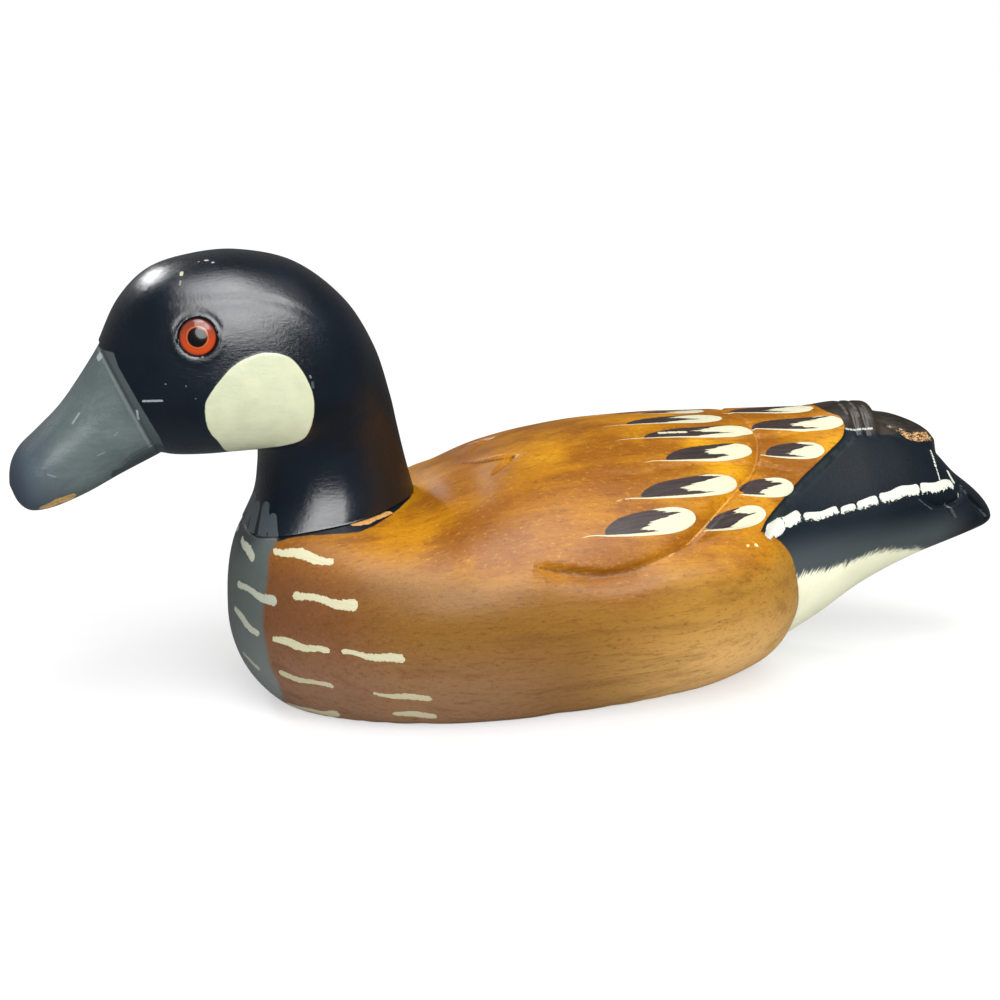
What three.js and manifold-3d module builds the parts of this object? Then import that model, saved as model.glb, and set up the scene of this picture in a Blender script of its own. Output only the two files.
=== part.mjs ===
// Duck decoy: a carved body with a flat underside, a carved head seated on it, and two glass eyes.
// Millimetres. +X points to the bill, +Y to the duck's left and +Z up.
// The origin is in the middle of the flat underside, below the centre of the whole length.

import * as THREE from "three";
import { ParametricGeometry } from "three/addons/geometries/ParametricGeometry.js";
import { mergeVertices } from "three/addons/utils/BufferGeometryUtils.js";
import Module from "manifold-3d";

const wasm = await Module();
wasm.setup();

// Driving dimensions

const BREAST_X = 94.0; // foremost point of the breast
const TAIL_X = -155.4; // tip of the tail
const TAIL_ROUND_X = -150.0; // where the tail starts to round off to its tip
const WIDEST_X = 12.0; // station of the greatest width
const HALF_WIDTH = 57.0; // half of the greatest width
const HULL_DEPTH = 48.6; // depth of the hull's oval below its widest line, which the base cuts off
const LAYER = 1.8; // height of the wing feathers above the rump
const FEATHER_END_X = -106.0; // rearmost point of the wing feathers' edge
const FEATHER_SIDE_X = -52.0; // the same edge where it runs down into the flank
const FEATHER_FOOT = 45.0; // height above which the feathers' edge shows behind that
const STERN_X = -81.5; // rear end of the flanks
const RIDGE_END_X = -135.6; // tip of the folded wings on the rump
const SEAT = { x: 38.0, z: 60.1, slope: 0.15 }; // neck shelf: its rear edge, and its fall to the front
const JOINT_GAP = 0.3; // open joint between neck and shelf, and between eye and socket
const EYE = { x: 102.5, y: 24.3, z: 112.7, radius: 5.4, bulge: 2.4, depth: 3.2, turn: 0.2, lift: 0.12 };

// Colours of the pieces

const STAINED_WOOD = new THREE.MeshStandardMaterial({ color: 0xb9812f, roughness: 0.42, metalness: 0 });
const BLACK_PAINT = new THREE.MeshStandardMaterial({ color: 0x1c2429, roughness: 0.4, metalness: 0 });
const ORANGE_GLASS = new THREE.MeshStandardMaterial({ color: 0xc2431c, roughness: 0.08, metalness: 0 });

// Height of the section centres along the body, as [x, z]
const SPINE = [
  [BREAST_X, 27], [60, 31], [WIDEST_X, 33], [-30, 35], [-60, 38],
  [-85, 42], [-110, 46], [-130, 47], [-145, 43.5], [TAIL_X, 40],
];

// Top line of the back and tail, with the wing feathers on, as [x, z]
const BACK_TOP = [
  [BREAST_X, 56.5], [84, 58.5], [70, 59.2], [55, 58.9], [47, 59.5], [38, 61.4], [30, 65.2],
  [23, 67.9], [10.5, 72.4], [-2, 75.6], [-20, 78.4], [-45, 79.7], [-100, 79.4], [-113, 77.0],
  [-125, 72.5], [-133, 65.8], [-141, 57.7], [-148.5, 51.8], [TAIL_X, 45.2],
];

// Underside of the rump and tail, as [x, z]; ahead of the tail it lies below the base and is cut off
const BACK_BOTTOM = [
  [WIDEST_X, -15.6], [-20, -14], [-60, -4], [-74, 0.6], [-90.6, 7.8],
  [-107.6, 18.2], [-124.9, 26], [-140, 31], [-150, 34.4], [TAIL_X, 36.6],
];

// Half-width of the wings and rump behind the widest station, as [x, half-width]
const BACK_WIDTH = [
  [WIDEST_X, HALF_WIDTH], [0, 56.2], [-10, 55.2], [-24, 53.4], [-42, 49.6], [-60, 44],
  [-80, 36.5], [-100, 30.3], [-120, 24.3], [-135, 18.8], [-147, 12.8], [TAIL_X, 7],
];

// Fullness of the upper and lower sections, as [x, exponent]: 2 is an oval, more is squarer
const BACK_FULLNESS = [
  [BREAST_X, 2.4], [84, 2.8], [70, 2.5], [40, 2.3], [WIDEST_X, 2.2], [-20, 2.0],
  [-60, 1.7], [-100, 1.5], [-140, 1.7], [TAIL_X, 1.9],
];
const KEEL_FULLNESS = [[BREAST_X, 2.5], [60, 2.25], [WIDEST_X, 2.12], [-60, 1.9], [-100, 1.6], [TAIL_X, 1.9]];

// Flanks: height of the widest line, rise above it and fall below it, as [x, mm]
const FLANK_LINE = [[WIDEST_X, 33], [-7, 32], [-24, 31.5], [-60, 32], [-75, 30.5], [STERN_X, 30]];
const FLANK_RISE = [[WIDEST_X, 39], [0, 33], [-24, 26.4], [-45, 24.5], [-60, 25], [STERN_X, 25]];
const FLANK_FALL = [
  [WIDEST_X, 48.6], [-7, 45.4], [-27, 41.6], [-41, 40.3], [-57, 38.6], [-66, 38], [-75, 36.8], [STERN_X, 36],
];
const FLANK_FULLNESS = [[WIDEST_X, 2.2], [-20, 2.6], [-60, 3.2]];

// Rear edge of the wing feathers over the rump on one side, seen from above, as [x, y]
const FEATHER_EDGE = [
  [FEATHER_END_X, 0], [-102.5, 6], [-97, 12.5], [-88, 19.5], [-77.5, 26.5], [-68, 33.5],
  [-60, 39.5], [-55, 45], [FEATHER_SIDE_X, 52], [FEATHER_SIDE_X, 70],
];

// Folded wing tips on the rump: top line and half-width
const RIDGE_TOP = [
  [-90, 79.2], [-100, 80.3], [-109, 80.0], [-111.5, 77.2], [-118.7, 75.6],
  [-125.8, 73.3], [-131, 70.7], [RIDGE_END_X, 68.2],
];
const RIDGE_FOOT = 6; // how far the ridge's form reaches below the spine, out of sight
const RIDGE_WIDTH = [[-90, 16], [-100, 14], [-111, 12.5], [-125, 10.5], [-131, 8], [RIDGE_END_X, 2.5]];

// Carved grooves on one side, each along points [x, degrees above the spine]
const GROOVES = [
  { path: [[8, 90], [12.5, 78], [18.5, 67]], width: 4.0, depth: 2.2 }, // notch between the wings
  { path: [[16, 21], [-4, 14.5], [-24, 13.5], [-44, 18]], width: 3.4, depth: 1.5 }, // below the wing
  { path: [[-38, 22], [-52, 32], [-61, 44], [-66, 66]], width: 2.4, depth: 1.1 }, // between feather rows
  { path: [[-124, 12], [-132, 20], [-139, 44]], width: 2.8, depth: 1.6 }, // first tail feather
  { path: [[-137, 4], [-140, 32], [-147, 50]], width: 2.6, depth: 1.5 }, // second tail feather
];
const GROOVE_STEPS = 4; // rings per part of a path
const GROOVE_LIFT = 2.0; // how far a groove's cutter stands out of the surface

// Head, neck and bill: sections from the neck's foot to the tip of the bill.
// upper and lower are [x, z] on the middle plane, half is the half-width, and
// round is the fullness of the section's upper and lower sides.
const HEAD = [
  { upper: [37.4, 60.2], lower: [88.0, 52.6], half: 24.0, round: [1.6, 3.0] },
  { upper: [40.2, 70.5], lower: [85.6, 61.5], half: 21.5, round: [1.8, 2.4] },
  { upper: [42.7, 81.0], lower: [84.2, 70.0], half: 21.5, round: [2.0, 2.2] },
  { upper: [45.1, 91.3], lower: [83.8, 75.4], half: 23.0, round: [2.15, 2.4] },
  { upper: [49.7, 105.6], lower: [83.8, 76.4], half: 25.2, round: [2.2, 2.6] },
  { upper: [58.1, 119.2], lower: [84.4, 76.6], half: 26.8, round: [2.3, 2.7] },
  { upper: [71.7, 129.8], lower: [86.4, 76.6], half: 27.4, round: [2.4, 2.8] },
  { upper: [88.0, 133.6], lower: [91.0, 76.4], half: 27.2, round: [2.45, 2.8] },
  { upper: [102.4, 132.5], lower: [98.0, 76.0], half: 26.0, round: [2.45, 2.8] },
  { upper: [113.9, 128.7], lower: [104.0, 75.8], half: 23.8, round: [2.4, 2.7] },
  { upper: [122.4, 120.5], lower: [109.0, 75.9], half: 20.3, round: [2.35, 2.6] },
  { upper: [127.4, 111.2], lower: [112.6, 76.4], half: 16.8, round: [2.3, 2.4] },
  { upper: [127.6, 109.2], lower: [113.2, 75.8], half: 14.8, round: [2.3, 2.4] },
  { upper: [134.2, 98.8], lower: [124.0, 70.6], half: 13.6, round: [2.3, 2.4] },
  { upper: [140.2, 90.7], lower: [133.2, 66.0], half: 13.6, round: [2.4, 2.5] },
  { upper: [146.8, 84.1], lower: [141.6, 62.8], half: 14.0, round: [2.5, 2.6] },
  { upper: [151.8, 79.4], lower: [147.2, 61.6], half: 13.2, round: [2.5, 2.6] },
  { upper: [154.2, 75.6], lower: [150.6, 61.8], half: 10.6, round: [2.4, 2.4] },
  { upper: [155.1, 72.4], lower: [153.2, 64.0], half: 6.6, round: [2.2, 2.2] },
  { upper: [155.3, 69.4], lower: [155.2, 68.2], half: 0.5, round: [2.0, 2.0] },
];

// Curves

// Monotone cubic through [x, value] knots, flat beyond the ends
function smooth(knots, x) {
  const k = [...knots].sort((a, b) => a[0] - b[0]);
  const last = k.length - 1;
  const at = Math.min(Math.max(x, k[0][0]), k[last][0]);
  const slope = (i) => (k[i + 1][1] - k[i][1]) / (k[i + 1][0] - k[i][0]);
  const tangent = (i) => {
    if (i === 0) return slope(0);
    if (i === last) return slope(last - 1);
    const before = slope(i - 1);
    const after = slope(i);
    if (before * after <= 0) return 0;
    const a = k[i][0] - k[i - 1][0];
    const b = k[i + 1][0] - k[i][0];
    return (3 * (a + b)) / ((a + 2 * b) / before + (2 * a + b) / after);
  };
  let i = 0;
  while (i < last - 1 && at > k[i + 1][0]) i += 1;
  const h = k[i + 1][0] - k[i][0];
  const t = (at - k[i][0]) / h;
  const rise = h * t * (1 - t) * ((1 - t) * tangent(i) - t * tangent(i + 1));
  return k[i][1] + (k[i + 1][1] - k[i][1]) * t * t * (3 - 2 * t) + rise;
}

// Rounded end: 1 at t = 0, falling to 0 at t = 1
function nose(t, p, q = p) {
  const u = Math.min(Math.abs(t), 1);
  return Math.pow(Math.max(1 - Math.pow(u, p), 0), 1 / q);
}

// Distance from the centre of a full oval to its rim, in the direction (c, s)
function ovalRadius(c, s, width, height, fullness) {
  const across = Math.pow(Math.abs(c) / Math.max(width, 0.01), fullness);
  const along = Math.pow(Math.abs(s) / Math.max(height, 0.01), fullness);
  return Math.pow(across + along, -1 / fullness);
}

const spine = (x) => smooth(SPINE, x);

// Surfaces of the body, as a distance from the spine

// Rounding of the tail's tip: 1 ahead of it, 0 at the tip
function tailCap(x) {
  return nose(Math.max((TAIL_ROUND_X - x) / (TAIL_ROUND_X - TAIL_X), 0), 2.7);
}

// Breast, wings and rump, with the wing feathers on
function backRadius(x, c, s) {
  const ahead = x > WIDEST_X;
  const t = ahead ? (x - WIDEST_X) / (BREAST_X - WIDEST_X) : 0;
  const width = ahead ? HALF_WIDTH * nose(t, 2.1) : smooth(BACK_WIDTH, x) * tailCap(x);
  if (s >= 0) {
    const rise = (smooth(BACK_TOP, x) - spine(x)) * (ahead ? nose(t, 20, 2.2) : tailCap(x));
    return ovalRadius(c, s, width, rise, smooth(BACK_FULLNESS, x));
  }
  const fall = ahead ? HULL_DEPTH * nose(t, 2.22) : (spine(x) - smooth(BACK_BOTTOM, x)) * tailCap(x);
  return ovalRadius(c, s, width, fall, smooth(KEEL_FULLNESS, x));
}

// The same behind the feathers' edge, where the layer is carved away
function rumpRadius(x, c, s) {
  return Math.max(backRadius(x, c, s) - LAYER * tailCap(x), 0.05);
}

function flankRadius(x, c, s) {
  const t = Math.max((x - WIDEST_X) / (STERN_X - WIDEST_X), 0);
  const width = HALF_WIDTH * nose(t, 3.4, 2.8);
  const rise = smooth(FLANK_RISE, x) * nose(t, 6, 2.6);
  const fall = smooth(FLANK_FALL, x) * nose(t, 6, 3);
  const offset = spine(x) - smooth(FLANK_LINE, x);
  const fullness = smooth(FLANK_FULLNESS, x);
  let near = 0;
  let far = 2 * HALF_WIDTH;
  for (let i = 0; i < 30; i += 1) {
    const r = (near + far) / 2;
    const z = offset + r * s;
    const n = z > 0 ? fullness : 2;
    const height = Math.max(z > 0 ? rise : fall, 0.01);
    const level = Math.pow(Math.abs(r * c) / Math.max(width, 0.01), n) + Math.pow(Math.abs(z) / height, n);
    if (level < 1) near = r;
    else far = r;
  }
  return near;
}

// Folded wing tips on top of the rump
function ridgeRadius(x, c, s) {
  const rise = s > 0 ? smooth(RIDGE_TOP, x) - spine(x) : RIDGE_FOOT;
  return ovalRadius(c, s, smooth(RIDGE_WIDTH, x), rise, 2.6);
}

function sideRadius(x, c, s) {
  const back = backRadius(x, c, s);
  return x > WIDEST_X ? back : Math.max(back, flankRadius(x, c, s));
}

function skinRadius(x, c, s) {
  return x > FEATHER_END_X ? sideRadius(x, c, s) : rumpRadius(x, c, s);
}

// Closed geometry of rings: ring(k) gives a function of the angle, and both ends close in a point
function ringGeometry(rings, sides, point) {
  const stacks = rings + 1;
  const place = (u, v, target) => {
    const k = Math.min(Math.max(Math.round(v * stacks) - 1, 0), rings - 1);
    const closed = v === 0 || v === 1;
    const angle = 2 * Math.PI * (Math.round(u * sides) % sides) / sides;
    target.copy(point(k, angle, closed));
  };
  return new ParametricGeometry(place, sides, stacks);
}

// Six times the enclosed volume, below zero where the faces point inwards
function signedVolume(position, index) {
  const [a, b, c] = [new THREE.Vector3(), new THREE.Vector3(), new THREE.Vector3()];
  let volume = 0;
  for (let i = 0; i < index.length; i += 3) {
    a.fromBufferAttribute(position, index[i]);
    b.fromBufferAttribute(position, index[i + 1]);
    c.fromBufferAttribute(position, index[i + 2]);
    volume += a.dot(b.cross(c));
  }
  return volume;
}

function toSolid(geometry) {
  const bare = geometry.clone();
  bare.deleteAttribute("normal");
  bare.deleteAttribute("uv");
  const merged = mergeVertices(bare, 1e-4);
  const index = merged.index.array;
  const kept = [];
  for (let i = 0; i < index.length; i += 3) {
    const [a, b, c] = [index[i], index[i + 1], index[i + 2]];
    if (a !== b && b !== c && c !== a) kept.push(a, b, c);
  }
  if (signedVolume(merged.attributes.position, kept) < 0) kept.reverse();
  return new wasm.Manifold(new wasm.Mesh({
    numProp: 3,
    vertProperties: new Float32Array(merged.attributes.position.array),
    triVerts: new Uint32Array(kept),
  }));
}

function toGeometry(solid) {
  const mesh = solid.getMesh();
  const geometry = new THREE.BufferGeometry();
  geometry.setAttribute("position", new THREE.BufferAttribute(new Float32Array(mesh.vertProperties), 3));
  geometry.setIndex(new THREE.BufferAttribute(new Uint32Array(mesh.triVerts), 1));
  geometry.computeVertexNormals();
  return geometry;
}

// Stations across the body from one place back to another, closer where the breast and tail round off
function stations(from, to) {
  const [front, middle, rear] = [15, 36, 5];
  const list = [];
  for (let i = 0; i < front; i += 1) {
    const turn = (Math.PI / 2) * ((i + 0.5) / front);
    list.push(WIDEST_X + (BREAST_X - WIDEST_X) * Math.cos(turn));
  }
  for (let i = 0; i < middle; i += 1) list.push(WIDEST_X + (TAIL_ROUND_X - WIDEST_X) * (i / middle));
  for (let i = 0; i < rear; i += 1) {
    const turn = (Math.PI / 2) * ((i + 0.4) / rear);
    list.push(TAIL_ROUND_X + (TAIL_X - TAIL_ROUND_X) * Math.sin(turn));
  }
  return list.filter((x) => x <= from && x >= to);
}

// A solid of rings across the body, one at each station
function bodyForm(list, sides, radius) {
  const point = (k, angle, closed) => {
    const x = list[k];
    const [c, s] = [Math.cos(angle), Math.sin(angle)];
    const r = closed ? 0 : radius(x, c, s);
    return new THREE.Vector3(x, r * c, spine(x) + r * s);
  };
  return toSolid(ringGeometry(list.length, sides, point));
}

function block(min, max) {
  const size = new THREE.Vector3().subVectors(max, min);
  const box = new THREE.BoxGeometry(size.x, size.y, size.z);
  box.translate(min.x + size.x / 2, min.y + size.y / 2, min.z + size.z / 2);
  return toSolid(box);
}

// Everything ahead of the feathers' rear edge
function aheadOfFeatherEdge() {
  const half = FEATHER_EDGE.map(([x, y]) => new THREE.Vector2(x, y));
  const mirrored = FEATHER_EDGE.slice(1).reverse().map(([x, y]) => new THREE.Vector2(x, -y));
  const widest = FEATHER_EDGE[FEATHER_EDGE.length - 1][1];
  const front = BREAST_X + 10;
  const corners = [new THREE.Vector2(front, widest), new THREE.Vector2(front, -widest)];
  const shape = new THREE.Shape([...half, ...corners, ...mirrored]);
  const prism = new THREE.ExtrudeGeometry(shape, { depth: 60, bevelEnabled: false });
  prism.translate(0, 0, FEATHER_FOOT);
  const below = block(
    new THREE.Vector3(FEATHER_SIDE_X, -widest, -FEATHER_FOOT),
    new THREE.Vector3(front, widest, FEATHER_FOOT),
  );
  return toSolid(prism).add(below);
}

// A tapered V groove along the surface, given by its path on one side
function groove({ path, width, depth }, side) {
  const last = path.length - 1;
  const xs = path.map(([x], i) => [i, x]);
  const angles = path.map(([, degrees], i) => [i, degrees]);
  const spot = (t, rise) => {
    const x = smooth(xs, t);
    const angle = THREE.MathUtils.degToRad(smooth(angles, t));
    const [c, s] = [Math.cos(angle), Math.sin(angle)];
    const r = skinRadius(x, c, s) + rise;
    return new THREE.Vector3(x, side * r * c, spine(x) + r * s);
  };
  const steps = GROOVE_STEPS * last;
  const point = (k, angle, closed) => {
    const t = (k / steps) * last;
    const deep = depth * Math.max(Math.sin((Math.PI * k) / steps) ** 0.6, 0.02);
    if (closed) return spot(t, GROOVE_LIFT / 2);
    const corner = Math.round((3 * angle) / (2 * Math.PI));
    if (corner === 0) return spot(t, -deep);
    const along = spot(t + 0.1, 0).sub(spot(t - 0.1, 0));
    const outward = spot(t, 1).sub(spot(t, 0));
    const across = new THREE.Vector3().crossVectors(along, outward).normalize();
    const spread = (width / (2 * depth)) * (deep + GROOVE_LIFT);
    return spot(t, GROOVE_LIFT).addScaledVector(across, corner === 1 ? spread : -spread);
  };
  return toSolid(ringGeometry(steps + 1, 3, point));
}

function buildBody() {
  const [wingSides, rumpSides, ridgeSides] = [42, 36, 20];
  const wings = bodyForm(stations(BREAST_X, -110), wingSides, sideRadius);
  const rump = bodyForm(stations(-30, TAIL_X), rumpSides, rumpRadius);
  const sternStations = [10.5, 8, 5.5, 3.5, 2, 1, 0.4, 0.05].map((gap) => STERN_X + gap);
  const flanks = bodyForm([...stations(-20, STERN_X + 12), ...sternStations], wingSides, flankRadius);
  const ridgeStations = RIDGE_TOP.flatMap(([x], i) => (i ? [(x + RIDGE_TOP[i - 1][0]) / 2, x] : [x]));
  const ridge = bodyForm(ridgeStations, ridgeSides, ridgeRadius);
  let body = wings.intersect(aheadOfFeatherEdge()).add(rump).add(flanks).add(ridge);
  for (const mark of GROOVES) {
    for (const side of [1, -1]) body = body.subtract(groove(mark, side));
  }
  const far = 200;
  const aboveBase = block(new THREE.Vector3(-far, -far, 0), new THREE.Vector3(far, far, far));
  return toGeometry(body.intersect(aboveBase).subtract(aboveSeat(0, 0.5)));
}

// The space above the neck shelf, raised by a gap and starting a distance behind the shelf's rear edge
function aboveSeat(gap, behind) {
  const [length, width, height] = [150, 90, 120];
  const box = new THREE.BoxGeometry(length, width, height);
  box.translate(length / 2 - behind, 0, height / 2 + gap);
  box.rotateY(Math.atan(SEAT.slope));
  box.translate(SEAT.x, 0, SEAT.z);
  return toSolid(box);
}

// Axis of an eye: out of the head, turned a little forward and up
function eyeFrame(side) {
  const outward = new THREE.Vector3(EYE.turn, side, EYE.lift).normalize();
  const turn = new THREE.Quaternion().setFromUnitVectors(new THREE.Vector3(0, 1, 0), outward);
  return new THREE.Matrix4().compose(
    new THREE.Vector3(EYE.x, side * EYE.y, EYE.z),
    turn,
    new THREE.Vector3(1, 1, 1),
  );
}

function buildHead() {
  const outline = (pick) => new THREE.CatmullRomCurve3(HEAD.map(pick), false, "catmullrom", 0.5);
  const upper = outline((h) => new THREE.Vector3(h.upper[0], h.upper[1], h.half));
  const lower = outline((h) => new THREE.Vector3(h.lower[0], h.lower[1], 0));
  const round = outline((h) => new THREE.Vector3(h.round[0], h.round[1], 0));
  const rings = 2 * HEAD.length - 1;
  const point = (k, angle, closed) => {
    const t = k / (rings - 1);
    const a = upper.getPoint(t);
    const b = lower.getPoint(t);
    const n = round.getPoint(t);
    const [c, s] = [Math.cos(angle), Math.sin(angle)];
    const r = closed ? 0 : ovalRadius(c, s, 1, 1, c >= 0 ? n.x : n.y);
    const [midX, midZ] = [(a.x + b.x) / 2, (a.y + b.y) / 2];
    const [halfX, halfZ] = [(a.x - b.x) / 2, (a.y - b.y) / 2];
    return new THREE.Vector3(midX + halfX * r * c, a.z * r * s, midZ + halfZ * r * c);
  };
  let head = toSolid(ringGeometry(rings, 28, point));
  for (const side of [1, -1]) {
    const socket = new THREE.CylinderGeometry(EYE.radius + JOINT_GAP, EYE.radius + JOINT_GAP, 12, 24);
    socket.translate(0, 6 - EYE.depth - JOINT_GAP, 0);
    socket.applyMatrix4(eyeFrame(side));
    head = head.subtract(toSolid(socket));
  }
  return toGeometry(head.intersect(aboveSeat(JOINT_GAP, 20)));
}

// Glass eye: a flat disc at the back and a low dome in front
function buildEye(side) {
  const profile = [new THREE.Vector2(0, -EYE.depth), new THREE.Vector2(EYE.radius, -EYE.depth)];
  const steps = 5;
  for (let i = 0; i <= steps; i += 1) {
    const a = (Math.PI / 2) * (i / steps);
    profile.push(new THREE.Vector2(EYE.radius * Math.cos(a), EYE.bulge * Math.sin(a) - 0.6));
  }
  profile[profile.length - 1].x = 0;
  const lathe = new THREE.LatheGeometry(profile, 24);
  lathe.applyMatrix4(eyeFrame(side));
  return toGeometry(toSolid(lathe));
}

function piece(name, geometry, material) {
  const mesh = new THREE.Mesh(geometry, material);
  mesh.name = name;
  return mesh;
}

const group = new THREE.Group();
group.add(piece("body", buildBody(), STAINED_WOOD));
group.add(piece("head", buildHead(), BLACK_PAINT));
group.add(piece("eye_left", buildEye(1), ORANGE_GLASS));
group.add(piece("eye_right", buildEye(-1), ORANGE_GLASS));

export default group;
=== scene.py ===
"""Duck decoy: the carved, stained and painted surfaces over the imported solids.

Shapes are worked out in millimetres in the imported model's frame and turned into metres at the end:
+X points to the bill, +Y to the duck's left and +Z up.
"""

import math

import bpy
import numpy as np
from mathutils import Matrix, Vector


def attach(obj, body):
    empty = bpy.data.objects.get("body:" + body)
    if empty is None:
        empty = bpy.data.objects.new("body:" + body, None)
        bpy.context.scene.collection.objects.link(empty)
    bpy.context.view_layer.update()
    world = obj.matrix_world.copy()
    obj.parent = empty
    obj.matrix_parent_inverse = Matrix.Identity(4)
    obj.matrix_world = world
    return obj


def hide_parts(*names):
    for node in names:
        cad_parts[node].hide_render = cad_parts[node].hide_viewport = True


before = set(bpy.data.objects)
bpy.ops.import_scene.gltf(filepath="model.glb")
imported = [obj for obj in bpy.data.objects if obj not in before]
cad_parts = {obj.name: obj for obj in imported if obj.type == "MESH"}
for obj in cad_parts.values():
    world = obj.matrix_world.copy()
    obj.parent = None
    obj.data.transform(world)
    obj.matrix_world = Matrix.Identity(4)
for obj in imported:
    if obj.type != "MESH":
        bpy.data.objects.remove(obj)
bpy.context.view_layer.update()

MM = 0.001

# Camera

CAMERA_AZIMUTH = 14.5  # degrees from the duck's left side towards its bill
CAMERA_ELEVATION = 14.0
CAMERA_DISTANCE = 570.0
CAMERA_TARGET = (10.5, 0.0, 55.0)
CAMERA_LENS = 66.96
CAMERA_SENSOR = 36

# Lights, with directions as azimuth (like the camera's) and elevation

LIGHTS = {
    "window_top": {"azimuth": -5, "elevation": 50, "width": 50, "power": 2.7},
    "window_foot": {"azimuth": 4, "elevation": 19, "width": 36, "power": 1.6},
    "window_side": {"azimuth": -32, "elevation": 40, "width": 28, "power": 0.45},
    "wall": {"azimuth": -62, "elevation": 64, "width": 50, "power": 0.25},
    "ceiling": {"azimuth": 20, "elevation": 78, "width": 36, "power": 1.5},
    "front": {"azimuth": 156, "elevation": 33, "width": 12, "power": 1.1},
}
ROOM_GLOW = 0.1
BACKDROP = 1.0
FLOOR_SHADE = 0.3
FLOOR_GLOW = 0.54
FLOOR_REACH = 8.0  # metres
WHITE_LIGHT = (1.0, 1.0, 1.0, 1.0)

# Driving dimensions of the body

BREAST_X = 94.3
TAIL_X = -155.4
TAIL_ROUND_X = -150.0
WIDEST_X = 12.0
HALF_WIDTH = 57.0
HULL_DEPTH = 48.6
LAYER = 1.8
BEVEL = 3.4
STERN_X = -81.5
RIDGE_START_X = -88.0
RIDGE_END_X = -134.6
SEAT_X, SEAT_Z, SEAT_SLOPE = 38.0, 60.1, 0.15
JOINT_GAP = 0.3
TAIL_CAP_CURVE = 2.7
BREAST_WIDTH_END, BREAST_TOP_END, BREAST_KEEL_END = (2.1, 2.1), (15, 2.2), (2.22, 2.22)
FLANK_WIDTH_END, FLANK_TOP_END, FLANK_KEEL_END = (3.4, 2.8), (6, 2.6), (6, 3)
RIDGE_FULLNESS = 2.6
RIDGE_BLEND = 0.7
FLANK_BLEND = 1.2
BASE_BLEND = 1.0
RIM_BLEND = 0.5
LEAST_BLEND = 0.01
GENTLE_CURVE = 1.8
VALLEY_DEPTH = 0.8
BREAK_DEPTH = 0.9
FRONT_RINGS, MIDDLE_RINGS, TAIL_RINGS = 32, 314, 12
UPPER_SPOKES, LOWER_SPOKES = 200, 76
HEAD_RINGS, HEAD_SPOKES = 388, 248
EYE_RINGS, EYE_SPOKES = 40, 96

# Where rings and spokes crowd together: the place, its reach and the extra density

BODY_RING_CROWDS = [(13, 9, 0.9), (-95, 48, 1.0)]
HEAD_RING_CROWDS = [(7.9, 0.8, 2.2), (11.6, 0.7, 1.6), (0, 0.5, 0.6)]
HEAD_SPOKE_CROWDS = [(70, 17, 1.7), (290, 17, 1.7)]

# Strength of the fine surface relief and its depth in metres

BODY_BUMP = (0.5, 0.00022)
HEAD_BUMP = (0.42, 0.0002)

SPINE = [
    (BREAST_X, 27), (60, 31), (WIDEST_X, 33), (-30, 35), (-60, 38),
    (-85, 42), (-110, 46), (-130, 47), (-145, 43.5), (TAIL_X, 40),
]
BACK_TOP = [
    (BREAST_X, 56.5), (84, 58.5), (70, 59.2), (55, 58.9), (47, 59.5), (38, 61.4), (30, 65.2),
    (23, 67.9), (10.5, 72.4), (-2, 75.6), (-20, 78.4), (-45, 79.7), (-100, 79.4), (-113, 77.0),
    (-125, 72.5), (-133, 65.8), (-141, 57.7), (-148.5, 51.8), (TAIL_X, 45.2),
]
BACK_BOTTOM = [
    (WIDEST_X, -15.6), (-20, -14), (-60, -4), (-74, 0.6), (-90.6, 7.8),
    (-107.6, 18.2), (-124.9, 26), (-140, 31), (-150, 34.4), (TAIL_X, 36.6),
]
BACK_WIDTH = [
    (WIDEST_X, HALF_WIDTH), (0, 56.2), (-10, 55.2), (-24, 53.4), (-42, 49.6), (-60, 44),
    (-80, 36.5), (-100, 30.3), (-120, 24.3), (-135, 18.8), (-147, 12.8), (TAIL_X, 7),
]
BACK_FULLNESS = [
    (BREAST_X, 2.4), (84, 2.8), (70, 2.5), (40, 2.3), (WIDEST_X, 2.2), (-20, 2.0),
    (-60, 1.7), (-100, 1.5), (-140, 1.7), (TAIL_X, 1.9),
]
KEEL_FULLNESS = [(BREAST_X, 2.5), (60, 2.25), (WIDEST_X, 2.12), (-60, 1.9), (-100, 1.6), (TAIL_X, 1.9)]
FLANK_LINE = [(WIDEST_X, 33), (-7, 32), (-24, 31.5), (-60, 32), (-75, 30.5), (STERN_X, 30)]
FLANK_RISE = [(WIDEST_X, 39), (0, 33), (-24, 26.4), (-45, 24.5), (-60, 25), (STERN_X, 25)]
FLANK_FALL = [
    (WIDEST_X, HULL_DEPTH), (-7, 45.4), (-27, 41.6), (-41, 40.3),
    (-57, 38.6), (-66, 38), (-75, 36.8), (STERN_X, 36),
]
FLANK_FULLNESS = [(WIDEST_X, 2.2), (-20, 2.6), (-60, 3.2)]
RIDGE_TOP = [
    (-90, 79.2), (-100, 80.3), (-109, 80.0), (-111.5, 77.2), (-118.7, 75.6),
    (-125.8, 73.0), (-131, 70.0), (RIDGE_END_X, 66.4),
]
RIDGE_WIDTH = [(-90, 16), (-100, 14), (-111, 12.5), (-125, 10.5), (-131, 7.6), (RIDGE_END_X, 2.0)]

# Rear edge of the wing feathers as (half-width, x), and where their stain ends near the middle
FEATHER_EDGE = [
    (0, -106), (6, -102.5), (12.5, -97), (19.5, -88), (26.5, -77.5),
    (33.5, -68), (39.5, -60), (45, -55), (52, -52),
]
STAIN_EDGE = [(0, -91.8), (3.5, -92.7), (5.6, -93.8), (7, -95.9), (7.7, -97.7), (9.8, -98.2), (12.5, -97)]

# Carved lines that also get painted shade along them, as paths of (x, degrees above the spine)

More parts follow.
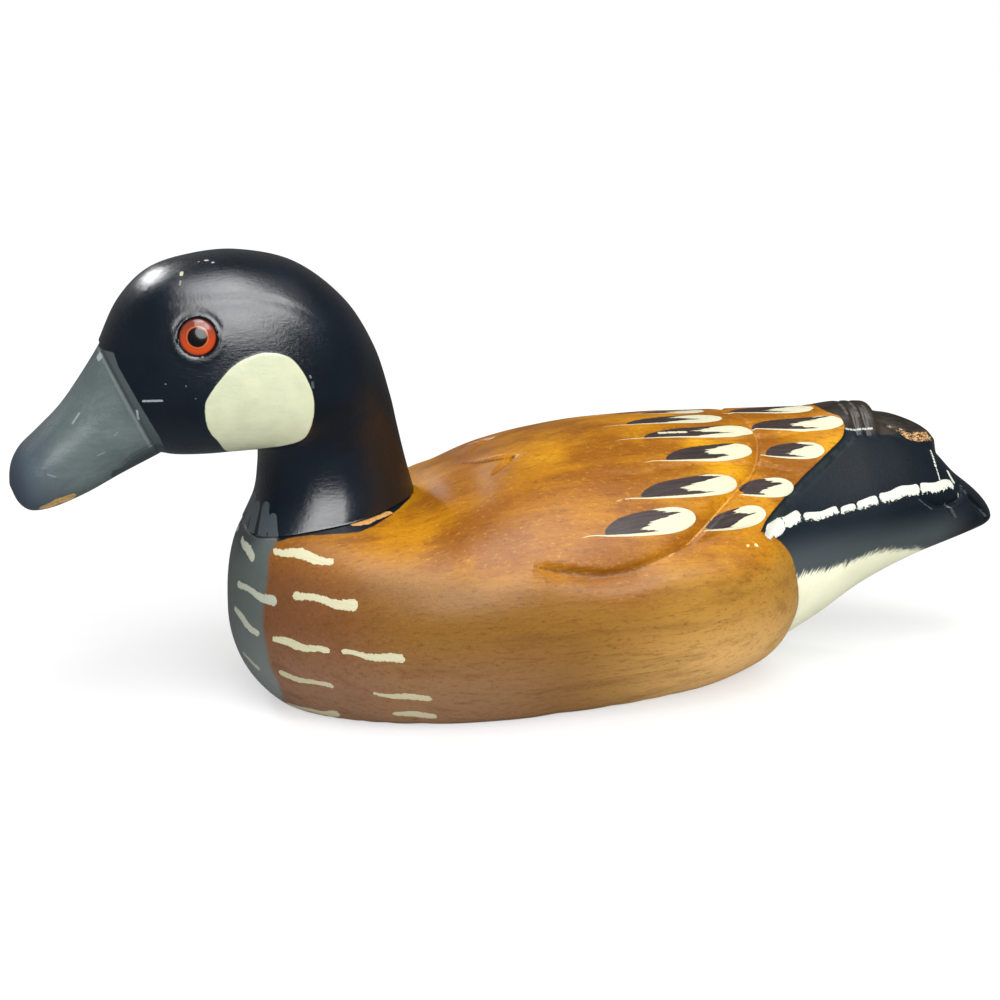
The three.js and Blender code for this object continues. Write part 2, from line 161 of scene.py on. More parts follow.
NOTCH_REAR = [(23.1, 85.7), (18.3, 80.3), (13.3, 74.8), (9.2, 72)]
NOTCH_FRONT = [(9.2, 72), (12, 68.3), (14.3, 65.5), (18.4, 60.2)]
FLANK_CREASE = [(14.7, 16.9), (9.9, 15.6), (5, 14.2), (-4.7, 12.1), (-14.9, 12.3), (-20.3, 13.5)]

# All carved lines on one side: path, depth at places along it, how far the cut reaches on its steep
# and its gentle side, and the direction of the steep side

GROOVES = [
    (NOTCH_REAR, [(0, 0), (0.4, 1.2), (0.9, 2.0), (1, 0.6)], 0.8, 2.6, (0, -1, 0)),
    (NOTCH_FRONT, [(0, 0.6), (0.1, 2.0), (0.6, 1.7), (1, 0)], 0.8, 3.0, (0.6, -1, 0)),
    (
        FLANK_CREASE + [(-31.4, 16.9), (-46, 20), (-57, 18.5)],
        [(0, 0), (0.14, 1.8), (0.3, 2.9), (0.5, 2.5), (0.75, 1.3), (1, 0.6)], 1.6, 7.5, (0, 0, 1),
    ),
    (
        [
            (-26.5, 14), (-34, 18), (-42.4, 25), (-50.6, 33), (-58.8, 42),
            (-63, 50), (-66, 62), (-66.3, 74), (-62, 86),
        ],
        [(0, 0.4), (0.2, 1.7), (0.5, 1.4), (1, 0.5)], 0.8, 5.0, (-1, 0.2, 0),
    ),
    (
        [(-8, 48), (-23, 46), (-34, 48.7), (-50, 50), (-62.7, 48.5), (-76.3, 43)],
        [(0, 0), (0.3, 0.6), (0.8, 0.9), (1, 0.3)], 0.9, 3.4, (0, 0, 1),
    ),
    (
        [(-26.8, 60.5), (-43.5, 62.8), (-66.3, 64.7), (-84, 69)],
        [(0, 0), (0.3, 0.5), (0.8, 0.9), (1, 0.4)], 0.9, 3.2, (0, 0, 1),
    ),
    (
        [(-119.5, 19), (-122.9, 10.6), (-129.9, 5.0), (-136.1, 11.5), (-139.5, 27), (-139.5, 46)],
        [(0, 0), (0.2, 1.3), (0.5, 2.1), (0.8, 2.0), (1, 0.5)], 0.9, 3.6, (-0.6, 0, -1),
    ),
    ([(-129.9, 8), (-134.6, -8.5)], [(0, 1.8), (1, 0.6)], 0.8, 2.8, (-1, 0, 0)),
    ([(-140.5, 35), (-145, 20), (-150, -1)], [(0, 0.8), (0.5, 2.2), (1, 0.8)], 0.8, 3.0, (-1, 0, 0.5)),
    ([(-101.6, 88), (-102, 78), (-102.6, 68)], [(0, 0.3), (0.5, 1.0), (1, 0.9)], 0.8, 1.6, (-1, 0, 0)),
    ([(-105.2, 88), (-105.6, 78), (-106.2, 68)], [(0, 0.3), (0.5, 1.0), (1, 0.9)], 0.8, 1.6, (-1, 0, 0)),
    ([(-59, 17.8), (-62.1, 14.6), (-66.5, 10)], [(0, 0.4), (0.4, 1.7), (1, 0.6)], 1.1, 1.6, (0, 0, 1)),
]

# Driving dimensions of the head: sections from the neck's foot to the tip of the bill, each with
# its upper and lower points (x, z), half-width and the fullness of its upper and lower sides

HEAD = [
    ((37.4, 60.2), (88.7, 52.4), 24.0, 1.6, 3.3),
    ((40.2, 70.5), (85.4, 61.5), 21.5, 1.8, 2.5),
    ((42.7, 81.0), (84.2, 70.0), 21.5, 2.0, 2.2),
    ((45.1, 91.3), (83.8, 75.4), 23.0, 2.15, 2.4),
    ((49.7, 105.6), (83.8, 76.4), 25.2, 2.2, 2.6),
    ((58.1, 119.2), (84.4, 76.6), 26.8, 2.3, 2.7),
    ((71.7, 129.8), (86.4, 76.6), 27.4, 2.4, 2.8),
    ((88.0, 133.6), (91.0, 76.4), 27.2, 2.45, 2.8),
    ((102.4, 132.5), (98.0, 76.0), 26.0, 2.45, 2.8),
    ((113.9, 128.7), (104.0, 75.8), 23.8, 2.4, 2.7),
    ((122.4, 120.5), (109.0, 75.9), 20.3, 2.35, 2.6),
    ((127.9, 109.8), (112.6, 76.4), 16.8, 2.3, 2.4),
    ((128.3, 107.8), (113.2, 75.8), 14.9, 2.3, 2.4),
    ((134.2, 98.8), (124.0, 70.6), 13.6, 2.3, 2.4),
    ((140.2, 90.7), (133.2, 66.0), 13.6, 2.4, 2.5),
    ((146.8, 84.1), (141.6, 62.8), 14.0, 2.5, 2.6),
    ((151.8, 79.4), (147.2, 61.6), 13.2, 2.5, 2.6),
    ((154.2, 75.6), (150.6, 61.8), 10.6, 2.4, 2.4),
    ((155.1, 72.4), (153.2, 64.0), 6.6, 2.2, 2.2),
    ((155.3, 69.4), (155.2, 68.2), 0.5, 2.0, 2.0),
]
BILL = [
    (124.9, 107.6), (123.9, 103.9), (122.2, 100.5), (119.6, 95.2), (116.3, 88.8), (113.7, 83.9),
    (112.0, 79.1), (111.0, 73.0), (150.0, 50.0), (170.0, 70.0), (150.0, 107.6),
]
CHEEK = [
    (83.2, 108.0), (76.3, 105.2), (71.3, 94.9), (72.5, 84.4), (77.8, 80.4), (92.7, 77.6),
    (97.8, 82.6), (100.6, 86.9), (101.4, 92.7), (100.2, 96.4), (95.0, 103.2), (89.6, 106.8),
]
MOUTH = [(113.3, 12.7, 80.6), (118.0, 11.0, 78.6), (120.9, 10.8, 77.0), (124.8, 9.4, 73.2)]
BROW = [
    (109.5, 0, 121.6), (101.0, 0, 122.8), (94.3, 0, 123), (87.4, 0, 123),
    (80.5, 0, 122), (73.6, 0, 119.3), (67, 0, 115),
]
BILL_CHIP = [(145.4, 9.2, 64.0), (142.2, 10.2, 65.5), (139.2, 9.4, 66.2)]
FINGERS = [
    ((85.6, -6.5, 58.3), (87.8, -9.5, 52.4), 3.0), ((86.4, 0, 58.5), (88.3, 0, 52.3), 3.8),
    ((85.6, 6.5, 58.0), (87.8, 9.5, 52.4), 3.0), ((84.0, 12.0, 60.2), (86.0, 17.0, 52.8), 1.9),
    ((82.4, 16.4, 57.8), (83.0, 20.2, 53.0), 1.7),
]
EYE_CENTRE = (102.5, 24.3, 112.7)
EYE_RADIUS, EYE_BULGE, EYE_DEPTH = 5.3, 2.3, 3.2
EYE_TURN, EYE_LIFT = 0.2, 0.12
PUPIL_RADIUS = 2.5
IRIS_LINE_RADIUS = 2.95
SOCKET_RADIUS = 5.42
SOCKET_SNAP = 0.42
SOCKET_SLACK = 0.03
EYE_SINK = 0.7
FACE_Y = 10
BEVEL_STATION = 12
BROW_DEPTH = 0.3
CHEEK_THICKNESS = 0.14
CHIP_DEPTH = 0.5
MOUTH_DEPTH, MOUTH_REACH = 0.7, 1.1
LID_HEIGHT, LID_CREASE, LID_DISH = 0.13, 0.22, 0.04

# The sides of the duck that a mark is on, as the sign of y

BOTH = (1, -1)
LEFT = (1,)

# Brush marks on one side, as rear end, front end (each x, degrees above the spine) and half-width

OUTER_FEATHERS = [
    ((-37.2, 27.0), (-7.8, 24.5), 4.3),
    ((-54.2, 39.8), (-21.3, 36.3), 3.9),
    ((-62.9, 57.1), (-33.0, 52.5), 3.7),
    ((-66.3, 69.5), (-29.6, 66.9), 3.2),
    ((-58.4, 79.8), (-27.1, 79.8), 3.2),
    ((-61.4, 25.4), (-40.5, 22.4), 3.4),
    ((-73.4, 35.7), (-53.3, 35.3), 3.5),
    ((-88.0, 56.0), (-67.0, 54.1), 3.4),
    ((-98.2, 73.8), (-66.3, 71.8), 3.3),
]
MIDDLE_FEATHERS = [
    ((-54.9, 89.0), (-35.1, 92.0), 2.7),
    ((-91.0, 86.5), (-62.7, 86.0), 3.0),
]
BREAST_DASHES = [
    ((90.2, 79.1), (88.4, 46.3), 1.15),
    ((92.6, 45.3), (83.8, 15.5), 1.2),
    ((93.6, 19.0), (88.1, -6.6), 1.1),
    ((91.9, -44.5), (88.0, -35.4), 0.9),
]
FLANK_DASHES = [
    ((83.8, 43.6), (68.1, 27.4), 1.35),
    ((79.6, 18.5), (63.3, 9.6), 1.3),
    ((85.3, -5.2), (70.6, -7.5), 1.1),
    ((67.9, -7.1), (51.2, -8.8), 1.1),
    ((83.5, -26.4), (69.5, -22.8), 0.95),
    ((59.4, -23.3), (43.0, -23.2), 0.95),
    ((80.2, -56.0), (67.2, -40.2), 1.6),
    ((53.5, -32.0), (40.7, -31.8), 1.2),
]
SIDE_DASHES = [
    ((-60.8, 17.4), (-68.4, 18.4), 2.3),
    ((-65.0, 19.4), (-74.8, 20.9), 1.7),
    ((-75.9, 19.4), (-88.7, 19.0), 1.15),
    ((-89.7, 18.5), (-95.3, 18.1), 1.0),
    ((-95.9, 19.3), (-103.8, 19.0), 1.3),
    ((-104.6, 19.9), (-120.2, 24.6), 1.6),
    ((-120.8, 23.4), (-135.3, 31.3), 1.5),
]

MARK_MARGIN = 5.0
LINE_MARGIN = 1.6
MARK_REACH = 8.0

# Kinds and colours of the marks

FEATHER, DASH, BRUSH = 1.0, 2.0, 3.0
WHOLE_PAINT, WORN_PAINT = 245, 190
WORN_BELOW = -20  # degrees above the spine
CREAM = (190, 188, 162)
PALE = (184, 181, 150)
DULL = (168, 171, 155)
WHITE = (192, 195, 183)

# Thin lines on the body: path of (x, degrees), half-width, colour with its strength, and the sides
# that have it

LINES = [
    # Painted shade: dark lines along the flank groove and where it runs on behind
    (FLANK_CREASE, 0.44, (76, 42, 10, 110), BOTH),
    ([(-20.3, 13.5), (-31.4, 16.9), (-38, 18.6)], 0.3, (110, 66, 22, 100), BOTH),
    # Painted shade: dark lines in the two arms of the notch behind the neck
    (NOTCH_REAR, 0.32, (64, 38, 12, 200), BOTH),
    (NOTCH_FRONT, 0.26, (74, 44, 16, 150), BOTH),
    ([(-27, 15), (-34, 18.3), (-42.4, 25.3), (-50.6, 33.3)], 0.2, (214, 164, 92, 110), BOTH),
    ([(-50.6, 33.3), (-58.8, 42.3), (-63, 50), (-66, 62), (-66.3, 74)], 0.2, (190, 128, 60, 70), BOTH),
    ([(-44, 68.9), (-34.6, 69.1)], 0.5, (*CREAM, 255), LEFT),
    ([(-130.3, 69), (-129.7, 58), (-129.3, 46)], 0.55, (*WHITE, 255), BOTH),
    ([(-129.3, 46), (-129.4, 31)], 0.24, (*WHITE, 255), BOTH),
    ([(-135, 49.5), (-135.4, 42), (-136.2, 35)], 0.75, (*WHITE, 255), BOTH),
    ([(-98, 68.9), (-102.6, 70.4), (-108.3, 70.9)], 0.3, (176, 180, 178, 220), BOTH),
    # Pale lines on the edges of the tail grooves: painted highlight, with some worn paint
    ([(-119.3, 15), (-124.5, 4.5)], 0.25, (92, 102, 108, 90), BOTH),
    ([(-131.2, 8.5), (-135.4, -8)], 0.3, (104, 112, 116, 90), BOTH),
    ([(-141.4, 34.5), (-146, 19), (-150.6, -1)], 0.32, (100, 108, 112, 90), BOTH),
    ([(-138, 23), (-138.5, 22)], 0.5, (*WHITE, 255), BOTH),
    ([(-53.2, 13.9), (-52.7, 13.7)], 0.38, (226, 196, 140, 255), LEFT),
    ([(-56.3, 13.0), (-55.7, 13.5)], 0.5, (230, 206, 156, 255), LEFT),
    # Pale strokes on the crowns of the carved wing-tip lobes: painted highlight
    ([(-99.6, 86), (-100.4, 77)], 0.6, (104, 96, 86, 120), BOTH),
    ([(-103.4, 87), (-104.1, 76)], 0.6, (110, 102, 92, 120), BOTH),
    ([(-107, 84), (-107.6, 75)], 0.5, (96, 88, 80, 110), BOTH),
]

# Scratches and nicks on the head's left side: ends in space, half-width and colour

HEAD_NICKS = [
    ((117.9, 18.2, 94.5), (112.4, 21.2, 94.9), 0.3, (150, 160, 164, 190)),
    ((105.2, 13.0, 129.3), (105.5, 14.7, 128.4), 0.5, (196, 192, 166, 210)),
    ((105.9, 16.0, 127.3), (106.2, 17.4, 126.3), 0.26, (150, 150, 138, 120)),
    ((98.6, 9.9, 132.0), (97.4, 10.6, 132.0), 0.4, (196, 196, 188, 255)),
    ((96.6, 11.7, 131.6), (96.3, 12.5, 131.4), 0.4, (170, 172, 166, 255)),
    ((100.4, 10.2, 131.8), (99.9, 10.3, 131.8), 0.3, (150, 152, 148, 255)),
    ((137.2, 11.5, 87.6), (134.9, 11.0, 90.7), 0.22, (130, 140, 140, 170)),
    ((144.8, 14.0, 74.2), (142.4, 13.9, 73.2), 0.22, (122, 132, 134, 120)),
    ((130.9, 13.3, 78.5), (128.6, 13.2, 79.4), 0.2, (122, 132, 132, 110)),
    ((126.0, 13.7, 84.0), (124.8, 13.9, 85.2), 0.2, (122, 132, 132, 110)),
    ((119.5, 14.6, 91.5), (119.0, 15.0, 88.5), 0.3, (148, 158, 158, 220)),
    ((127.9, 6.2, 106.4), (129.0, 5.8, 104.6), 0.55, (142, 150, 152, 255)),
    ((71.6, 26.4, 99.5), (71.3, 26.2, 97.4), 0.35, (60, 72, 78, 255)),
    ((72.3, 26.6, 101.3), (71.9, 26.5, 100.4), 0.3, (90, 104, 108, 255)),
    ((111.5, 21.0, 99.6), (111.2, 21.1, 99.4), 0.22, (130, 138, 140, 150)),
    ((106.2, 23.4, 99.2), (105.9, 23.5, 99.0), 0.22, (120, 128, 130, 150)),
    ((103.6, 23.6, 95.6), (103.3, 23.7, 95.5), 0.2, (120, 128, 130, 140)),
]

# Painted areas: the front band as (z, x), the black collar as (x, y) with its foot as (x, z), the raw
# wood in the neck's crack as (x, y), the pale undertail as (x, z), the brown wing tips as (x,
# half-width), and the broken wood at the wing tip as a path with its width along it

BAND_EDGE = [
    (3, 81.3), (12, 83.8), (16, 85.5), (23, 86.6), (29, 87.2),
    (36, 86.7), (44, 85.4), (49, 84.6), (52.6, 82.2),
]
COLLAR = [
    (82.2, 22.8), (75.9, 24.8), (70.3, 26.6), (63.2, 28), (58.8, 28),
    (54.0, 25.4), (48.6, 20.8), (44.8, 16.6), (40.5, 9.4), (37.8, 0),
]
COLLAR_FOOT = [(37, 52), (60, 49), (90, 45)]
WEDGE = [(61.5, 23.2), (55, 20.8), (48.6, 17.2), (47.6, 19.6), (52, 22.0), (56, 24.3), (60.5, 24.8)]
UNDERTAIL = [(-71.5, 35), (-88, 35), (-96.7, 36), (-103.7, 37), (-115.4, 35.4), (-123.4, 34), (-130, 31)]
TIPS_WIDTH = [(-92, 12.0), (-98, 11.4), (-102.6, 10.3), (-109, 9.8), (-120, 7.6), (-134, 3)]
WEDGE_FOOT = 50
TIPS_FOOT = 60
RAW_WOOD = [(-113.6, 75), (-118, 73.5), (-122, 71.5), (-127, 74), (-132, 80)]
RAW_WIDTH = [(0, 0.2), (0.3, 0.6), (0.5, 1.2), (0.8, 1.5), (1, 0.7)]
RAW_WOOD_START = -105
OUTSIDE = 9
FAR_AWAY = 99.0


# Curves


def smooth(knots, x):
    """Monotone cubic through (x, value) knots, flat beyond the ends."""
    ordered = np.array(sorted(knots), float)
    xs, ys = ordered[:, 0], ordered[:, 1]
    gaps = np.diff(xs)
    slopes = np.diff(ys) / gaps
    tangents = np.zeros(len(xs))
    tangents[0], tangents[-1] = slopes[0], slopes[-1]
    for i in range(1, len(xs) - 1):
        before, after = slopes[i - 1], slopes[i]
        if before * after > 0:
            a, b = gaps[i - 1], gaps[i]
            tangents[i] = 3 * (a + b) / ((a + 2 * b) / before + (2 * a + b) / after)
    at = np.clip(np.asarray(x, float), xs[0], xs[-1])
    i = np.clip(np.searchsorted(xs, at) - 1, 0, len(xs) - 2)
    t = (at - xs[i]) / gaps[i]
    rise = gaps[i] * t * (1 - t) * ((1 - t) * tangents[i] - t * tangents[i + 1])
    return ys[i] + (ys[i + 1] - ys[i]) * t * t * (3 - 2 * t) + rise


def nose(t, p, q=None):
    """Rounded end: 1 at t = 0, falling to 0 at t = 1."""
    u = np.clip(np.abs(t), 0, 1)
    return np.maximum(1 - u**p, 0) ** (1 / (q or p))


def step(low, high, x):
    """Soft step from 0 at low to 1 at high."""
    t = np.clip((x - low) / (high - low), 0, 1)
    return t * t * (3 - 2 * t)


def soft_max(a, b, blend):
    h = np.clip(0.5 + 0.5 * (a - b) / blend, 0, 1)
    return b * (1 - h) + a * h + blend * h * (1 - h)


def oval_radius(c, s, width, height, fullness):
    across = np.abs(c / np.maximum(width, 0.01)) ** fullness
    along = np.abs(s / np.maximum(height, 0.01)) ** fullness
    return (across + along) ** (-1 / fullness)


def catmull(points, t):
    """Catmull-Rom curve through the points at places t along it, counted in points."""
    points = np.asarray(points, float)
    if points.ndim == 1:
        points = points[:, None]
    i = np.clip(np.floor(t).astype(int), 0, len(points) - 2)
    f = (t - i)[:, None]
    padded = np.concatenate([[2 * points[0] - points[1]], points, [2 * points[-1] - points[-2]]])
    a, b, c, d = padded[i], padded[i + 1], padded[i + 2], padded[i + 3]
    return 0.5 * (2 * b + (c - a) * f + (2 * a - 5 * b + 4 * c - d) * f**2 + (3 * b - a - 3 * c + d) * f**3)


def crowded(start, end, count, crowds):
    """Places from start to end, closer together near each crowd of (place, reach, extra)."""
    fine = np.linspace(start, end, 4000)
    weight = np.ones(len(fine))
    for place, reach, extra in crowds:
        weight += extra * np.exp(-(((fine - place) / reach) ** 2))
    total = np.concatenate([[0], np.cumsum((weight[1:] + weight[:-1]) / 2)])
    return np.interp(np.linspace(0, total[-1], count), total, fine)


def path_distance(points, path):
    """Distance of points to a path, the nearest place on it, and how far along it (0 to 1) that is."""
    path = np.asarray(path, float)
    best = np.full(len(points), 1e9)
    along = np.zeros(len(points))
    nearest = np.zeros((len(points), 3))
    count = len(path) - 1
    for i in range(count):
        a, b = path[i], path[i + 1]
        edge = b - a
        t = np.clip((points - a) @ edge / max(edge @ edge, 1e-9), 0, 1)
        place = a + t[:, None] * edge
        d = np.linalg.norm(points - place, axis=1)
        closer = d < best
        best = np.where(closer, d, best)
        along = np.where(closer, (i + t) / count, along)
        nearest = np.where(closer[:, None], place, nearest)
    return best, nearest, along


def outline_distance(px, pz, corners):
    """Distance to a closed outline, below zero inside it."""
    best = np.full(px.shape, 1e9)
    inside = np.zeros(px.shape, bool)
    for i, (ax, az) in enumerate(corners):
        bx, bz = corners[(i + 1) % len(corners)]
        ex, ez = bx - ax, bz - az
        t = np.clip(((px - ax) * ex + (pz - az) * ez) / (ex * ex + ez * ez), 0, 1)
        best = np.minimum(best, np.hypot(px - ax - t * ex, pz - az - t * ez))
        crosses = (az > pz) != (bz > pz)
        inside ^= crosses & (px < ax + (pz - az) / (ez if ez else 1e-9) * ex)
    return np.where(inside, -best, best)


def rounded(corners, steps=8):
    """Closed smooth outline through the corners."""
    count = len(corners)
    around = np.array([corners[i % count] for i in range(-2, count + 3)], float)
    t = np.arange(count * steps) / steps + 2
    return [tuple(place) for place in catmull(around, t)]


def mirrored(points, side):
    return np.asarray(points, float) * np.array([1, side, 1])


# Body


def spine(x):
    return smooth(SPINE, x)


def tail_cap(x):
    return nose(np.maximum((TAIL_ROUND_X - x) / (TAIL_ROUND_X - TAIL_X), 0), TAIL_CAP_CURVE)


def back_radius(x, c, s):
    """Breast, wings and rump, as a distance from the spine."""
    ahead = x > WIDEST_X
    t = np.where(ahead, (x - WIDEST_X) / (BREAST_X - WIDEST_X), 0)
    width = np.where(ahead, HALF_WIDTH * nose(t, *BREAST_WIDTH_END), smooth(BACK_WIDTH, x) * tail_cap(x))
    rise = (smooth(BACK_TOP, x) - spine(x)) * np.where(ahead, nose(t, *BREAST_TOP_END), tail_cap(x))
    rear_fall = (spine(x) - smooth(BACK_BOTTOM, x)) * tail_cap(x)
    fall = np.where(ahead, HULL_DEPTH * nose(t, *BREAST_KEEL_END), rear_fall)
    upper = oval_radius(c, s, width, rise, smooth(BACK_FULLNESS, x))
    lower = oval_radius(c, s, width, fall, smooth(KEEL_FULLNESS, x))
    return np.where(s >= 0, upper, lower)


def flank_radius(x, c, s):
    """Rounded flanks, whose sections are centred below the spine."""
    t = np.maximum((x - WIDEST_X) / (STERN_X - WIDEST_X), 0)
    width = HALF_WIDTH * nose(t, *FLANK_WIDTH_END) + 0.01
    rise = smooth(FLANK_RISE, x) * nose(t, *FLANK_TOP_END) + 0.01
    fall = smooth(FLANK_FALL, x) * nose(t, *FLANK_KEEL_END) + 0.01
    offset = spine(x) - smooth(FLANK_LINE, x)
    fullness = smooth(FLANK_FULLNESS, x)
    near = np.zeros(np.broadcast(x, c).shape)
    far = near + 2 * HALF_WIDTH
    for _ in range(22):
        middle = (near + far) / 2
        z = offset + middle * s
        n = np.where(z > 0, fullness, 2.0)
        level = np.abs(middle * c / width) ** n + np.abs(z / np.where(z > 0, rise, fall)) ** n
        near = np.where(level < 1, middle, near)
        far = np.where(level < 1, far, middle)
    return np.where((x < WIDEST_X) & (x > STERN_X), near, 0)


def ridge_radius(x, c, s):
    """Folded wing tips on top of the rump."""
    rise = smooth(RIDGE_TOP, x) - spine(x)
    r = oval_radius(c, s, smooth(RIDGE_WIDTH, x), rise, RIDGE_FULLNESS)
    start = step(RIDGE_START_X + 2, RIDGE_START_X - 2, x)
    return np.where((x < RIDGE_START_X + 2) & (x > RIDGE_END_X) & (s > 0), r * start, 0)


def behind_edge(edge, x, c, s):
    """How far, in millimetres along x, a place lies behind an edge given across the back."""
    half = np.abs(back_radius(x, c, s) * c)
    return np.where(s > 0, smooth(edge, half), FEATHER_EDGE[-1][1]) - x


def skin_radius(x, c, s):
    """The whole body's surface before the fine carving."""
    behind = behind_edge(FEATHER_EDGE, x, c, s)
    back = back_radius(x, c, s) - LAYER * np.clip(behind / BEVEL, 0, 1) * tail_cap(x)
    blend = LEAST_BLEND + FLANK_BLEND * step(WIDEST_X, WIDEST_X - 14, x)
    r = soft_max(back, flank_radius(x, c, s), blend)
    return soft_max(r, ridge_radius(x, c, s), RIDGE_BLEND)


def surface_point(x, degrees):
    """Places on the body's surface at x and an angle above the spine, left side."""
    x = np.asarray(x, float)
    angle = np.radians(np.asarray(degrees, float))
    c, s = np.cos(angle), np.sin(angle)
    r = skin_radius(x, c, s)
    return np.stack([x, r * c, spine(x) + r * s], -1)


def surface_path(knots, side=1):
    """Curve on the body's surface through knots of (x, degrees above the spine)."""
    t = np.linspace(0, len(knots) - 1, 8 * len(knots))
    xs, degrees = catmull(knots, t).T
    return mirrored(surface_point(xs, degrees), side)


def groove_depth(points, groove, side):
    """Depth of one carved line under each point."""
    knots, depths, steep_reach, gentle_reach, toward = groove
    path = surface_path(knots, side)
    reach = max(steep_reach, gentle_reach)
    near = np.all((points > path.min(0) - reach) & (points < path.max(0) + reach), axis=1)
    distance, nearest, along = path_distance(points[near], path)
    steep = (points[near] - nearest) @ mirrored(toward, side) > 0
    wall = np.clip(1 - distance / steep_reach, 0, 1)
    slope = np.clip(1 - distance / gentle_reach, 0, 1) ** GENTLE_CURVE
    depth = np.zeros(len(points))
    depth[near] = smooth(depths, along) * np.where(steep, wall, slope)
    return depth


def raw_wood_distance(points):
    """Distance into the broken wood at the left wing tip, below zero inside it."""
    distance, _, along = path_distance(points, surface_path(RAW_WOOD))
    return distance - smooth(RAW_WIDTH, along)


def body_rings():
    """x of the rings, closer together at the breast and where the body is carved."""
    front = WIDEST_X + (BREAST_X - WIDEST_X) * np.cos(np.linspace(0.02, 0.9, FRONT_RINGS))
    rest = crowded(front[-1], TAIL_ROUND_X, MIDDLE_RINGS, BODY_RING_CROWDS)[1:]
    tip = TAIL_ROUND_X + (TAIL_X - TAIL_ROUND_X) * np.sin(np.linspace(0, 1.55, TAIL_RINGS))[1:]
    return np.concatenate([front, rest, tip])


def body_angles():
    """Directions around the spine, closer together above it."""
    upper = np.linspace(-12, 192, UPPER_SPOKES)
    lower = np.linspace(192, 348, LOWER_SPOKES)[1:-1]
    return np.radians(np.concatenate([upper, lower]))


def carving_depth(points, s):
    """Depth of all the hand carving under each point of the body."""
    depth = np.zeros(len(points))
    for groove in GROOVES:
        for side in BOTH:
            depth = np.maximum(depth, groove_depth(points, groove, side))
    x, y, _ = points.T
    half = np.abs(y)
    valley = VALLEY_DEPTH * np.exp(-(((x - 19 - 0.22 * half) / 6) ** 2))
    valley = valley * step(0, 12, half) * step(46, 28, half)
    broken = BREAK_DEPTH * step(0.4, -0.5, raw_wood_distance(points))
    return depth + np.where(s > 0, valley, 0) + broken


def body_points():
    x, angle = np.meshgrid(body_rings(), body_angles(), indexing="ij")
    c, s = np.cos(angle), np.sin(angle)
    r = skin_radius(x, c, s)
    skin = np.stack([x, r * c, spine(x) + r * s], -1).reshape(-1, 3)
    r = r - carving_depth(skin, s.ravel()).reshape(r.shape)
    base = np.where(s < 0, spine(x) / np.maximum(-s, 1e-6), 1e9)
    r = -soft_max(-r, -base, BASE_BLEND)
    shelf = (SEAT_Z - SEAT_SLOPE * (x - SEAT_X) - spine(x)) / np.maximum(s, 1e-6)
    rim = LEAST_BLEND + RIM_BLEND * step(66, 86, x)
    r = np.where((x > SEAT_X) & (s > 0), -soft_max(-r, -shelf, rim), r)
    return np.stack([x, r * c, np.maximum(spine(x) + r * s, 0)], -1)


def grid_mesh(name, rings):
    """Closed mesh from rings of points, with a pole at each end and its faces turned outward."""
    count, around, _ = rings.shape
    points = np.concatenate([rings.reshape(-1, 3), [rings[0].mean(0)], [rings[-1].mean(0)]])
    first, last = len(points) - 2, len(points) - 1
    i, j = np.meshgrid(np.arange(count - 1), np.arange(around), indexing="ij")
    following = (j + 1) % around
    here, ahead = i * around, (i + 1) * around
    quads = np.stack([here + j, here + following, ahead + following, ahead + j], -1).reshape(-1, 4)
    faces = quads.tolist()
    for k in range(around):
        n = (k + 1) % around
        faces.append((first, n, k))
        faces.append((last, (count - 1) * around + k, (count - 1) * around + n))
    mesh = bpy.data.meshes.new(name)
    mesh.from_pydata((points * MM).tolist(), [], faces)
    mesh.update()
    a, b, c, d = points[quads].transpose(1, 0, 2)
    if np.einsum("ij,ij->", a - points.mean(0), np.cross(c - a, d - b)) < 0:
        mesh.flip_normals()
    mesh.shade_smooth()
    return mesh


def vertex_places(mesh):
    points = np.empty(len(mesh.vertices) * 3)
    mesh.vertices.foreach_get("co", points)
    return points.reshape(-1, 3) / MM


def put_floats(mesh, name, values):
    attribute = mesh.attributes.new(name, "FLOAT", "POINT")
    attribute.data.foreach_set("value", np.asarray(values, np.float32).ravel())


# Brush marks


def srgb(red, green, blue):
    """Colour given in 0 to 255 as a picture shows it, turned into linear light."""
    channels = []
    for value in (red, green, blue):
        v = value / 255
        channels.append(v / 12.92 if v <= 0.04045 else ((v + 0.055) / 1.055) ** 2.4)
    return (*channels, 1.0)


def mark_between(a, b, normal):
    """Origin, direction, sideways direction and length of a mark from a to b."""
    direction = np.asarray(b, float) - a
    length = np.linalg.norm(direction)
    direction = direction / length
    across = np.cross(normal - direction * (normal @ direction), direction)
    across /= np.linalg.norm(across)
    if across @ np.array([0, -np.sign(a[1] + 0.01), 1]) < 0:
        across = -across
    return np.asarray(a, float), direction, across, length


def mark_on_body(rear, front, side):
    a, b = surface_point([rear[0], front[0]], [rear[1], front[1]])
    x, degrees = (rear[0] + front[0]) / 2, (rear[1] + front[1]) / 2
    here, along, around = surface_point([x, x + 0.5, x], [degrees, degrees, degrees + 1])
    normal = np.cross(along - here, around - here)
    origin, direction, across, length = mark_between(a, b, normal / np.linalg.norm(normal))
    return mirrored(origin, side), mirrored(direction, side), mirrored(across, side), length


def body_marks():
    marks = []
    for kind, group, sides, colour in (
        (FEATHER, OUTER_FEATHERS, BOTH, CREAM),
        (FEATHER, MIDDLE_FEATHERS, LEFT, CREAM),
        (DASH, BREAST_DASHES, BOTH, DULL),
        (DASH, FLANK_DASHES, BOTH, PALE),
        (BRUSH, SIDE_DASHES, BOTH, WHITE),
    ):
        for number, (rear, front, half) in enumerate(group):
            for side in sides:
                seed = number * 3.7 + side * 0.9 + kind * 11.3
                strength = WORN_PAINT if kind == DASH and rear[1] < WORN_BELOW else WHOLE_PAINT
                marks.append((kind, mark_on_body(rear, front, side), half, seed, (*colour, strength)))
    return marks


